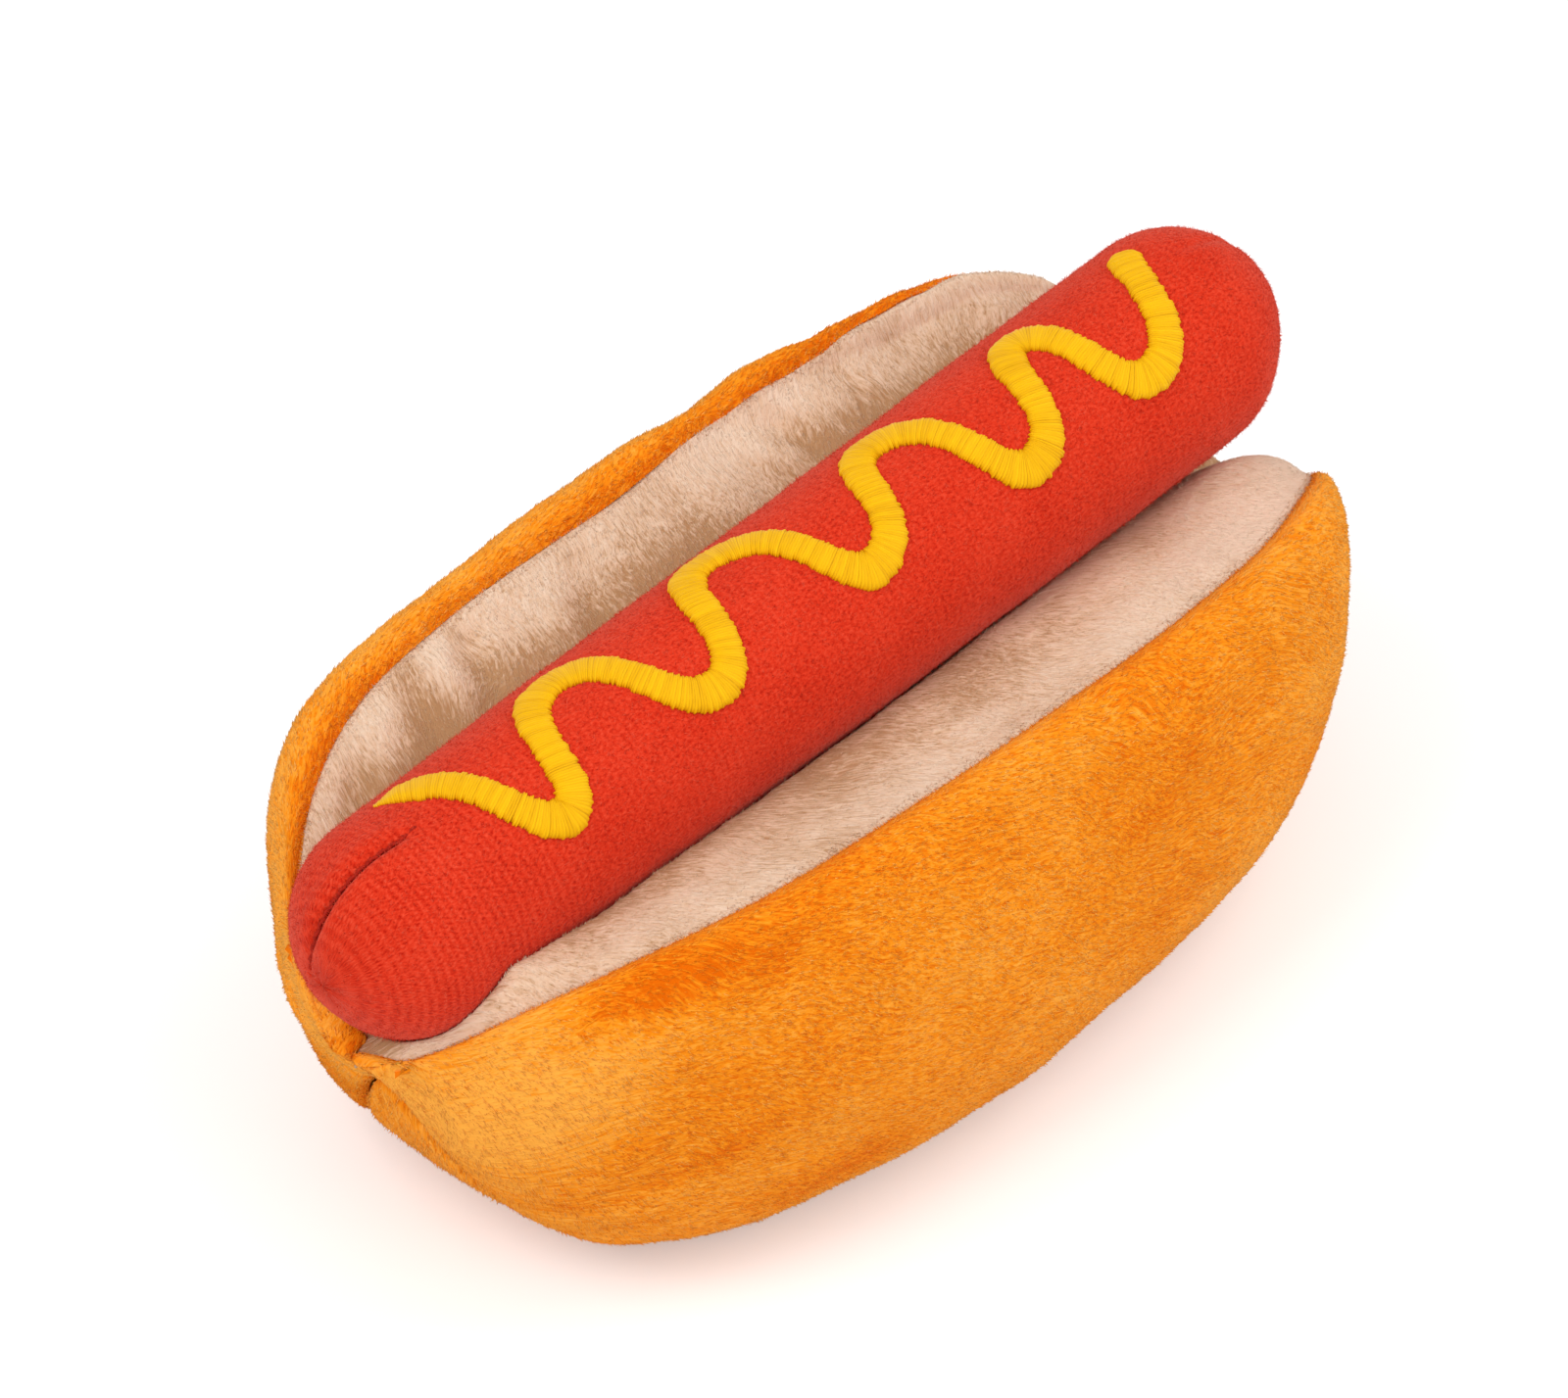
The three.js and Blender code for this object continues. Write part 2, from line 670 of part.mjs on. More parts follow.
function baseStitch() {
  const places = stationList(baseStitchStationCount).map(stationPlace);
  const points = places.map((a) => baseSeamPoint(a).setY(insetFrom(baseSeamPoint, a, seamHalfGap)));
  return threadAlong(points, threadDiameter, 2 * stationSteps);
}

function endStitch(direction) {
  const top = lipPoint(direction).setY(0);
  const bottom = baseSeamPoint(direction).setY(0).lerp(top, endStitchLiftShare);
  const inset = new THREE.Vector3((-direction * crustThickness) / 2, 0, 0);
  return threadAlong([top.add(inset), bottom.add(inset)], threadDiameter, 2);
}

// Finishes
const orange = { color: '#ed922d', roughness: 0.95, metalness: 0 };
const cream = { color: '#e3bfa3', roughness: 0.95, metalness: 0 };
const red = { color: '#e24028', roughness: 0.95, metalness: 0 };
const yellow = { color: '#fbc314', roughness: 0.6, metalness: 0 };
const fibre = { color: '#f4f2ec', roughness: 1, metalness: 0 };
const bulb = { color: '#f2efe6', roughness: 0.45, metalness: 0 };
const insert = { color: '#d9d9d6', roughness: 0.35, metalness: 0 };

function piece(name, geometry, finish) {
  const mesh = new THREE.Mesh(geometry, new THREE.MeshStandardMaterial(finish));
  mesh.name = name;
  return mesh;
}

// Each piece of the back half has its mirror image in the front half.
function pair(frontName, backName, geometry, finish) {
  return [piece(frontName, mirrored(geometry), finish), piece(backName, geometry, finish)];
}

const bun = new THREE.Group();
bun.add(
  ...pair('bun_front_crust', 'bun_back_crust', crustPanel(), orange),
  piece('bun_base', basePanel(), orange),
  ...pair('front_crumb', 'back_crumb', crumbPanel(), cream),
  piece('crumb_valley_strip', valleyStrip(), cream),
  ...pair('front_lip_stitch', 'back_lip_stitch', merged(lipStitch()), orange),
  ...pair('front_base_stitch', 'back_base_stitch', merged(baseStitch()), orange),
  piece('left_end_stitch', endStitch(-1), orange),
  piece('right_end_stitch', endStitch(1), orange),
);

const filling = new THREE.Group();
filling.add(
  ...pair('front_stuffing', 'back_stuffing', halfStuffing(), fibre),
  piece('core_stuffing', coreStuffing(), fibre),
  piece('squeaker_pad', squeakerPad(), fibre),
  piece('squeaker_base', squeakerBase(), bulb),
  piece('squeaker_wall', squeakerSide(), bulb),
  piece('squeaker_top', squeakerTop(), bulb),
  piece('reed_holder', reedHolder(), insert),
  piece('reed', reed(), insert),
);

const sausage = new THREE.Group();
sausage.position.copy(sausageCentre);
sausage.rotation.y = -sausagePitch;
sausage.add(
  piece('sausage_skin', sausageSkin(), red),
  piece('sausage_stuffing', sausageStuffing(), fibre),
  piece('embroidery_backing', embroideryBacking(), fibre),
  piece('mustard_line', mustardLine(), yellow),
  piece('left_dart_stitch', dartStitch(-1, leftDartRun, 0), red),
  piece('right_dart_stitch', dartStitch(1, 0, rightDartDelay), red),
  piece('tack_stitch_row', tackRow(), red),
);

const toy = new THREE.Group();
toy.add(bun, filling, sausage);

export default toy;
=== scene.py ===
import math

import bmesh
import bpy
import numpy as np
from mathutils import Matrix, Vector


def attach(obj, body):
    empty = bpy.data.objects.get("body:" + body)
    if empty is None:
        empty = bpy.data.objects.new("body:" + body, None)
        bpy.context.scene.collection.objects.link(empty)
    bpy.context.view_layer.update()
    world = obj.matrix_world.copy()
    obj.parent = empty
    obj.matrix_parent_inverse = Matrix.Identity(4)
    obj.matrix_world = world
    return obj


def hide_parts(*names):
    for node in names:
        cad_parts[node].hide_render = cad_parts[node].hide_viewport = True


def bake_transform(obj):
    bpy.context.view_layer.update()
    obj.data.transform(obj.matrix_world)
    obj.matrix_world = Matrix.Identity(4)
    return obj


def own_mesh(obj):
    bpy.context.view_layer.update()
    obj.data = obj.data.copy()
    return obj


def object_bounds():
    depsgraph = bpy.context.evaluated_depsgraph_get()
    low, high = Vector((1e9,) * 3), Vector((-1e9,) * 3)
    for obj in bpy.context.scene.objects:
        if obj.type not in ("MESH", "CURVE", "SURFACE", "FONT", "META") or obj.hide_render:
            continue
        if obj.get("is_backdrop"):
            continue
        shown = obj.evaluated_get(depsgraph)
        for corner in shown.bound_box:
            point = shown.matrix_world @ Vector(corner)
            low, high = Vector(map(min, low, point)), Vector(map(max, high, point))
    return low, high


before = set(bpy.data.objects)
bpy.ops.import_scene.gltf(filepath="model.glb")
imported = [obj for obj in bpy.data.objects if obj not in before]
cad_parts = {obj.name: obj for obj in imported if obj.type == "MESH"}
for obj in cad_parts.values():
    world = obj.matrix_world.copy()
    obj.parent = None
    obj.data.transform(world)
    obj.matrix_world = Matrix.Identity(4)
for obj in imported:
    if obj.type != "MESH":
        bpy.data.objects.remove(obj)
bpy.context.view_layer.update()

MM = 0.001

# The bun's sizes in mm, as its solids have them. An outline is the fullness and roundness of a swell.
HALF_LENGTH = 107.0
SEAM_GAP = 0.9  # from the seams of each half to the centre plane
LIP_SPAN = 42.6
LIP_HEIGHT = 77.0
LIP_OUTLINE = (3.7, 0.63)
LEFT_TUCK, RIGHT_TUCK = 50.0, 40.0  # heights where the lips meet, at the two ends
LEFT_DROP_POWER, RIGHT_DROP_POWER = 7.0, 10.0
BASE_HALF_LENGTH = 99.0
BASE_SPAN = 35.0
BASE_HEIGHT = 2.6
BASE_OUTLINE = (1.6, 0.5)
BASE_SIDE_OUTLINE = (7.4, 0.82)
BASE_SAG = 3.1
TIP_DROP = 10.0  # of the base seam's tips under the places where the lips meet
PULL_OUTLINE = (5.5, 0.48)
RIM_PULL = np.array([0, 15.6, 20.0])
FLANK_PULL = np.array([0, 38.0, -1.4])
END_TURN_POWER = 60  # with which the panels' inner wall turns to the ends
CLOTH = 2.4
CRUMB_CLOTH = 2.2
VALLEY_HEIGHT = 58.0
CRUMB_CROWN = 3
STRIP_HALF_WIDTH = 7.5  # of the valley's strip, which lies lower by the tacking's room
STRIP_SLOPE = 4
TACK_ROOM = 1.1
PRESS_ROOM = 0.5  # between the sausage and the solids' cloth
PLANE_ROOM = 0.08  # between a half's cloth and the centre plane
BUN_MIDDLE = np.array([0, 0, 40.0])

# The sausage's sizes
SAUSAGE_RADIUS = 19.0
SAUSAGE_CORE = 89.0  # half of its straight part
SKIN = 1.8
HOLE = 0.9  # radius of the gathered hole at each end
PITCH = math.radians(4.0)
SAUSAGE_CENTRE = np.array([-4.0, 0.0, 77.0])
SAUSAGE_ALONG = np.array([math.cos(PITCH), 0.0, math.sin(PITCH)])
SAUSAGE_UP = np.array([-math.sin(PITCH), 0.0, math.cos(PITCH)])

# How fine the grids are
CRUST_COLS, CRUST_ROWS, CRUST_INNER_STEP = 400, 144, 12
CRUMB_COLS, CRUMB_ROWS, CRUMB_INNER_STEP = 400, 72, 8
BASE_COLS, BASE_ROWS, BASE_INNER_STEP = 320, 96, 8
SKIN_SIDES = 216
SINE_SHARE, EVEN_SHARE = 0.62, 0.38  # of the stations' spacing along the bun

HALVES = (("front_half", "front", -1), ("back_half", "back", 1))


# Numbers and fields

def hashed(i, j, seed):
    """Fixed pseudo-random numbers from 0 to 1, one for each whole place (i, j)."""
    n = (i * 374761393 + j * 668265263 + seed * 974634777) & 0xFFFFFFFF
    n = ((n ^ (n >> 13)) * 1274126177) & 0xFFFFFFFF
    n = ((n ^ (n >> 15)) * 2246822519) & 0xFFFFFFFF
    return ((n ^ (n >> 16)) & 0xFFFFFF) / float(0xFFFFFF)


def eased(f):
    """Smooth step from 0 to 1: 3f^2 - 2f^3, held at 0 and 1 outside."""
    f = np.clip(f, 0, 1)
    return f * f * (3 - 2 * f)


def lumps(x, y, seed, around=0):
    """Smooth field from -1 to 1: fixed random values at whole places, eased between them.
    With around, the field repeats after that many steps of y."""
    i, j = np.floor(x).astype(np.int64), np.floor(y).astype(np.int64)
    fx, fy = eased(x - i), eased(y - j)
    j0, j1 = (j % around, (j + 1) % around) if around else (j, j + 1)
    low = hashed(i, j0, seed) * (1 - fx) + hashed(i + 1, j0, seed) * fx
    high = hashed(i, j1, seed) * (1 - fx) + hashed(i + 1, j1, seed) * fx
    return 2 * (low * (1 - fy) + high * fy) - 1


def layered(x, y, seed, layers, offset=0):
    """Sum of smooth fields, one for each layer (amount, size along x, size along y)."""
    return sum(amount * lumps(x / along, y / across + offset, seed + k)
               for k, (amount, along, across) in enumerate(layers))


def mounds(x, y, table):
    """Sum of bell-shaped fields, each (x, y, radius along, radius across, turn in degrees, height)."""
    total = 0 * x
    for middle_x, middle_y, along, across, turn, height in table:
        c, s = math.cos(math.radians(turn)), math.sin(math.radians(turn))
        dx, dy = x - middle_x, y - middle_y
        total += height * np.exp(-(((c * dx + s * dy) / along) ** 2 + ((c * dy - s * dx) / across) ** 2))
    return total


def ridge(distance, middle, width):
    """Bell-shaped field of one distance: exp(-((distance - middle) / width)^2)."""
    return np.exp(-((distance - middle) / width) ** 2)


def band(distance, start, full, fading, end):
    """Field that eases from 0 at start to 1 at full, and back from 1 at fading to 0 at end."""
    return eased((distance - start) / (full - start)) * (1 - eased((distance - fading) / (end - fading)))


def course(a, marks):
    """Values given at marks (place, value), eased from each mark to the next and held outside."""
    places, values = np.array(marks, float).T
    k = np.clip(np.searchsorted(places, a, side="right") - 1, 0, len(places) - 2)
    return values[k] + (values[k + 1] - values[k]) * eased((a - places[k]) / (places[k + 1] - places[k]))


def swell(a, fullness, roundness):
    """Full width in the middle, closing to nothing at both ends: (1 - |a|^fullness)^roundness."""
    return np.maximum(0, 1 - np.abs(a) ** fullness) ** roundness


def unit(v):
    """Vectors scaled to length 1."""
    return v / np.maximum(np.linalg.norm(v, axis=-1, keepdims=True), 1e-9)


def facing(grid, middle=BUN_MIDDLE):
    """Unit normals of a grid of points, the cross product of its two slopes, away from a middle."""
    normal = unit(np.cross(np.gradient(grid, axis=1), np.gradient(grid, axis=0)))
    return normal * np.sign((normal * (grid - middle)).sum())


def arcs(grid, axis):
    """Length run along a grid from its first line, summed step by step."""
    steps = np.linalg.norm(np.diff(grid, axis=axis), axis=2)
    start = np.zeros_like(np.take(steps, [0], axis=axis))
    return np.concatenate([start, np.cumsum(steps, axis=axis)], axis=axis)


def stations(count):
    """Places a from -1 to 1 along the bun, closer toward its ends: a sine mixed with even steps."""
    even = np.linspace(-1, 1, count)
    return SINE_SHARE * np.sin(even * np.pi / 2) + EVEN_SHARE * even


# The bun's seams and surfaces

def tuck_height(a):
    """Height where the lips meet, at the end toward a."""
    return np.where(a > 0, RIGHT_TUCK, LEFT_TUCK)


def dropped(a):
    """Share of its whole drop that a line has at a: |a| to the power of the end toward it."""
    return np.abs(a) ** np.where(a > 0, RIGHT_DROP_POWER, LEFT_DROP_POWER)


def lip_line(a):
    """Seam of crust and crumb, back half: an oval in plan, level and then dropping to its ends."""
    y = SEAM_GAP + LIP_SPAN * swell(a, *LIP_OUTLINE)
    z = LIP_HEIGHT - (LIP_HEIGHT - tuck_height(a)) * dropped(a)
    return np.stack([HALF_LENGTH * a, y, z], -1)


def base_line(a):
    """Seam of crust and base, back half: a pointed oval in plan that climbs at both ends."""
    y = SEAM_GAP + BASE_SPAN * swell(a, *BASE_OUTLINE)
    tip = tuck_height(a) - TIP_DROP
    z = tip - (tip - BASE_HEIGHT) * swell(a, *BASE_SIDE_OUTLINE)
    return np.stack([BASE_HALF_LENGTH * a, y, z], -1)


def direction(line, a, flatten=(1, 1, 1)):
    """Unit direction of a seam line at a, from the places a small step before and after."""
    step = 0.004
    return unit((line(np.minimum(a + step, 1)) - line(np.maximum(a - step, -1))) * flatten)


def inset(line, a, room):
    """A seam line moved toward the centre plane by room, measured square to the line."""
    across = direction(line, a)[..., 1]
    out = line(a)
    out[..., 1] = np.maximum(out[..., 1] - room / np.sqrt(1 - across ** 2 + 1e-6), 0.05)
    return out


def beside(line, a, room):
    """A seam line moved inward by room along its own normal in plan, point by point."""
    along = direction(line, a, (1, 1, 0))
    out = line(a) + room * np.stack([along[..., 1], -along[..., 0], 0 * a], -1)
    out[..., 1] = np.maximum(out[..., 1], 0.1)
    return out


def crust_surface(a, t):
    """Side panel, back half: a cubic Bezier rib from the lip seam (t 0) to the base seam (t 1),
    with its two middle points pulled out and up, and all pulls dying out toward the ends."""
    pull = swell(a, *PULL_OUTLINE)[..., None]
    lip, seam = lip_line(a), base_line(a)
    rim = lip + pull * RIM_PULL
    flank = seam + pull * FLANK_PULL
    t = t[..., None]
    return lip * (1 - t) ** 3 + 3 * rim * t * (1 - t) ** 2 + 3 * flank * t * t * (1 - t) + seam * t ** 3


RIB_PLACES = np.linspace(0, 1, 401)
STATIONS = stations(401)
RIB_RUNS = arcs(crust_surface(*np.meshgrid(STATIONS, RIB_PLACES)), 0)
MIDDLE = len(STATIONS) // 2
MIDDLE_RUN = RIB_RUNS[:, MIDDLE] / RIB_RUNS[-1, MIDDLE]


def rib_length(a):
    """Length of the side panel from lip to base seam."""
    return np.interp(a, STATIONS, RIB_RUNS[-1])


def base_surface(a, v):
    """Base panel: straight across between its seams, v from -1 to 1, and sagging by 1 - v^2."""
    seam = base_line(a)
    sag = BASE_SAG * swell(a, *BASE_SIDE_OUTLINE)
    return np.stack([seam[..., 0], v * seam[..., 1], seam[..., 2] - sag * (1 - v * v)], -1)


def under_sausage(x, y, z, reach):
    """Heights lowered until they clear the sausage, a capsule of radius reach round its axis. The
    nearest place on the axis moves with the height, so the step is taken three times."""
    for _ in range(3):
        p = np.stack([x, y, z], -1) - SAUSAGE_CENTRE
        foot = np.clip(p @ SAUSAGE_ALONG, -SAUSAGE_CORE, SAUSAGE_CORE)
        near = SAUSAGE_CENTRE + foot[..., None] * SAUSAGE_ALONG
        drop = reach ** 2 - (x - near[..., 0]) ** 2 - y ** 2
        z = np.where(drop > 0, np.minimum(z, near[..., 2] - np.sqrt(np.maximum(drop, 0))), z)
    return z


def strip(y):
    """1 over the valley's strip, easing to 0 beyond its edge."""
    return 1 - eased((y - STRIP_HALF_WIDTH) / STRIP_SLOPE)


def crumb_height(a, y):
    """Inner face: rises from the valley to the lip with a crown, half a sine wave, and is pressed in
    by the sausage."""
    lip = lip_line(a)
    valley = VALLEY_HEIGHT - (VALLEY_HEIGHT - tuck_height(a)) * dropped(a)
    share = np.minimum(1, y / lip[..., 1])
    rise = lip[..., 2] - valley
    crown = CRUMB_CROWN * rise / (LIP_HEIGHT - VALLEY_HEIGHT)
    free = valley + rise * share + crown * np.sin(np.pi * share)
    return under_sausage(lip[..., 0], y, free, SAUSAGE_RADIUS + PRESS_ROOM)


# How much lower the lips and the valley lie than the solids', in mm, at places a along the bun
FRONT_SETTLED = ((-1, 0), (-0.9, 0), (-0.8, 0.4), (-0.7, 0.2), (-0.3, 0), (0, 0.9),
                 (0.4, 1.2), (0.7, 3.2), (0.86, 4.6), (0.94, 4.8), (1, 0))
BACK_SETTLED = ((0.2, 0), (0.3, -1.0), (0.38, -0.5), (0.46, 1.3), (0.55, 2.2), (0.64, 0.8),
                (0.72, -1.6), (0.82, -2.2), (0.9, 2.6), (0.95, 9.6), (0.97, 8.1), (0.98, 6.3), (1, 0))
VALLEY_SETTLED = ((0.7, 0), (0.84, 3.6), (0.94, 3.2), (1, 3.2))
VALLEY_REACH = (4, 18)  # from the middle, between which the valley's amount dies out

# How much slimmer the side panels are than the solids', in mm: near the back rim and low in front
BACK_SLIMMER = ((-1, 0), (-0.96, 0), (-0.93, 0.8), (-0.88, 1.4), (-0.8, 0.4), (-0.7, 0.1),
                (-0.62, 0.8), (-0.5, 2.0), (-0.4, 1.9), (-0.1, 0.7), (0.05, 0.6), (0.22, 2.0),
                (0.36, 1.3), (0.5, 2.5), (0.6, 1.5), (0.68, 0))
FRONT_SLIMMER = ((-0.06, 0), (0.15, 1.5), (0.3, 1.0), (0.45, 0.6), (0.56, 0.1), (0.8, 0.5),
                 (0.9, 0.8), (1, 0))
SLIMMER_RUN = (1, 7, 35, 65)  # band of it, in mm from the seam that it is nearest to

# Where the lip seam lies past the solids' lip line, in mm along the bun's surface
BACK_SHIFT = ((-0.1, 0), (0.2, 1.9), (0.36, 1.9), (0.56, 5.6), (0.72, 6.6), (0.82, 6.2), (0.95, 0))
FRONT_SHIFT = ((-1, 0.6), (-0.93, 1.6), (-0.8, 0.5), (-0.6, 0.2))

# Where the side panels have closed over the inner face at the ends: the place a and the run to it
BACK_CLOSING, FRONT_CLOSING, RIGHT_CLOSING = (-0.925, 0.04), (-0.972, 0.016), (0.965, 0.02)


def settled(a, y, side):
    """How much lower the inner face lies than the solids', at y from the middle."""
    lips = course(a, BACK_SETTLED if side > 0 else FRONT_SETTLED)
    start, end = VALLEY_REACH
    valley = course(a, VALLEY_SETTLED) * (1 - eased((y - start) / (end - start)))
    return lips * eased(y / np.maximum(lip_line(a)[..., 1], 1e-3)) + valley


def bun_surface(a, run, side):
    """The side panel and the inner face as one surface: run mm from the lip line, down the side panel
    where it is above 0 and in over the inner face where it is below. It lies lower than the solids'
    by a full amount at the lip that eases out to the base seam and to the valley."""
    share = np.clip(run / np.maximum(rib_length(a), 1e-3), 0, 1)
    panel = crust_surface(a, np.interp(share, MIDDLE_RUN, RIB_PLACES))
    lip = lip_line(a)
    y = np.maximum(lip[..., 1] + np.minimum(run, 0), PLANE_ROOM)
    inside = np.stack([lip[..., 0], y, crumb_height(a, y)], -1)
    surface = np.where(run[..., None] > 0, panel, inside)
    surface[..., 2] -= settled(a, y, side) * (1 - share) ** 2
    return surface


def seam_shift(a, side):
    """How far the lip seam really lies from the lip line, in mm along the bun's surface: out over the
    crest of the back half toward its right end, and in over the inner face where the two side panels
    meet at the ends."""
    out = course(a, BACK_SHIFT if side > 0 else FRONT_SHIFT)
    left, left_run = BACK_CLOSING if side > 0 else FRONT_CLOSING
    right, right_run = RIGHT_CLOSING
    closed = np.maximum(eased((left - a) / left_run), eased((a - right) / right_run))
    return out * (1 - closed) - closed * lip_line(a)[..., 1]


# Meshes

def closed_sheet(name, outer, inner):
    """One closed mesh from two grids of points, inner with a row for every few rows of outer:
    quads on both sides and along the long edges, and many-cornered faces along the short ends."""
    rows, cols = outer.shape[:2]
    deep = inner.shape[0]
    each = (rows - 1) // (deep - 1)
    top = np.arange(rows * cols).reshape(rows, cols)
    low = top.size + np.arange(deep * cols).reshape(deep, cols)

    def quads(g):
        return np.stack([g[:-1, :-1], g[:-1, 1:], g[1:, 1:], g[1:, :-1]], -1).reshape(-1, 4)

    sides = [quads(top), quads(low)[:, ::-1]]
    sides.append(np.stack([top[0, 1:], top[0, :-1], low[0, :-1], low[0, 1:]], -1))
    sides.append(np.stack([top[-1, :-1], top[-1, 1:], low[-1, 1:], low[-1, :-1]], -1))
    faces = np.concatenate(sides).tolist()
    for i in range(deep - 1):
        span = slice(i * each, (i + 1) * each + 1)
        faces.append([*top[span, 0].tolist(), int(low[i + 1, 0]), int(low[i, 0])])
        faces.append([*top[span, -1].tolist()[::-1], int(low[i, -1]), int(low[i + 1, -1])])
    points = np.concatenate([outer.reshape(-1, 3), inner.reshape(-1, 3)])
    return mesh_piece(name, points, faces)


def volume_of(points, faces):
    """Signed volume of the quads of a closed mesh, positive where they face out."""
    quad = np.array([f for f in faces if len(f) == 4])
    p = points[quad]
    two = np.cross(p[:, 1] - p[:, 0], p[:, 2] - p[:, 0]) + np.cross(p[:, 2] - p[:, 0], p[:, 3] - p[:, 0])
    return np.einsum("ij,ij->", p.mean(1) - points.mean(0), two)


def linked(name, data):
    """A new object in the scene."""
    obj = bpy.data.objects.new(name, data)
    bpy.context.collection.objects.link(obj)
    return obj


def smooth_mesh(name, points, faces):
    """A smooth mesh from points in mm and faces."""
    mesh = bpy.data.meshes.new(name)
    mesh.from_pydata((points * MM).tolist(), [], faces)
    mesh.polygons.foreach_set("use_smooth", np.ones(len(mesh.polygons), bool))
    return mesh


def mesh_piece(name, points, faces, sharp=70):
    """An object from points in mm and faces, turned to face out, smooth but at edges over sharp
    degrees."""
    if volume_of(points, faces) < 0:
        faces = [f[::-1] for f in faces]
    mesh = smooth_mesh(name, points, faces)
    mesh.set_sharp_from_angle(angle=math.radians(sharp))
    return linked(name, mesh)


def mark(obj, name, values):
    """Stores a number or a vector for each point, in mesh order; points without one get 0."""
    values = np.asarray(values, np.float32)
    wide = values.ndim > 1
    count = len(obj.data.vertices)
    full = np.zeros((count, 3) if wide else count, np.float32)
    full[:len(values)] = values
    kind, field = ("FLOAT_VECTOR", "vector") if wide else ("FLOAT", "value")
    layer = obj.data.attributes.new(name, kind, "POINT")
    layer.data.foreach_set(field, full.ravel())


def ring_faces(rows, count, close=False):
    """Quads between neighbouring rings of count points, and with close from the last to the first."""
    r, k = np.meshgrid(np.arange(rows if close else rows - 1), np.arange(count), indexing="ij")
    nxt, below = (k + 1) % count, (r + 1) % rows
    quads = np.stack([r * count + k, r * count + nxt, below * count + nxt, below * count + k], -1)
    return quads.reshape(-1, 4)


def capped_rings(rows, count):
    """Faces of rows of rings, each of count points, with a cap of one face at each end."""
    last = (rows - 1) * count
    caps = [list(range(count))[::-1], [last + k for k in range(count)]]
    return ring_faces(rows, count).tolist() + caps


def tube(name, path, radii, sides):
    """A round thread along a path: rings square to it, turned from whichever of X, Y and Z it runs
    least along."""
    along = unit(np.gradient(path, axis=0))
    guide = np.eye(3)[np.argmin(np.abs(along).mean(0))]
    side = unit(np.cross(along, guide))
    up = np.cross(side, along)
    turn = np.linspace(0, 2 * np.pi, sides, endpoint=False)[None, :, None]
    ring = np.cos(turn) * side[:, None] + np.sin(turn) * up[:, None]
    points = path[:, None] + ring * np.asarray(radii).reshape(len(path), -1, 1)
    return mesh_piece(name, points.reshape(-1, 3), capped_rings(len(path), sides))


ROOT_FLATNESS = 0.55


def spikes(name, roots, tips, width, sideways):
    """Short fibres as thin three-sided spikes: a small flattened triangle at each root, closed, and
    one tip."""
    lean = unit(tips - roots)
    side = unit(np.cross(lean, sideways))
    up = np.cross(side, lean)
    turn = (np.array([0, 2, 4]) * np.pi / 3)[:, None]
    corner = np.cos(turn) * side[:, None] + ROOT_FLATNESS * np.sin(turn) * up[:, None]
    base = roots[:, None] + width[:, None, None] * corner
    points = np.concatenate([base, tips[:, None]], 1).reshape(-1, 3)
    first = 4 * np.arange(len(roots))[:, None]
    corners = ((0, 1, 3), (1, 2, 3), (2, 0, 3), (0, 2, 1))
    faces = np.concatenate([first + np.array(c) for c in corners]).tolist()
    mesh = smooth_mesh(name, points, faces)
    one = points[faces[0]]
    if np.dot(np.cross(one[1] - one[0], one[2] - one[0]), one.mean(0) - points[:4].mean(0)) < 0:
        mesh.flip_normals()
    return linked(name, mesh)


# Materials

class Graph:
    """A node tree, with the kinds of node that the looks here need. A value is a socket or a number."""

    def __init__(self, tree):
        self.nodes, self.links = tree.nodes, tree.links

    def math(self, kind, a, b):
        """A Math node on two values."""
        node = self.nodes.new("ShaderNodeMath")
        node.operation = kind
        for slot, value in zip(node.inputs, (a, b)):
            if isinstance(value, (int, float)):
                slot.default_value = value
            else:
                self.links.new(value, slot)
        return node.outputs[0]

    def added(self, a, b):
        return self.math("ADD", a, b)

    def times(self, a, b):
        return self.math("MULTIPLY", a, b)

    def seen(self):
        """1 for a camera ray or a glossy ray, and 0 for the light that falls on things."""
        path = self.nodes.new("ShaderNodeLightPath")
        return self.math("MAXIMUM", path.outputs["Is Camera Ray"], path.outputs["Is Glossy Ray"])

    def read(self, name, output):
        """What the mesh stores for each point."""
        node = self.nodes.new("ShaderNodeAttribute")
        node.attribute_name = name
        return node.outputs[output]

    def pattern(self, source, scale, detail, rough, twist):
        """Noise from 0 to 1 over a vector, stretched by a Mapping."""
        place = self.nodes.new("ShaderNodeMapping")
        place.inputs["Scale"].default_value = scale
        self.links.new(source, place.inputs["Vector"])
        noise = self.nodes.new("ShaderNodeTexNoise")
        values = {"Scale": 1, "Detail": detail, "Roughness": rough, "Distortion": twist}
        for socket, value in values.items():
            noise.inputs[socket].default_value = value
        self.links.new(place.outputs["Vector"], noise.inputs["Vector"])
        return noise.outputs["Fac"]


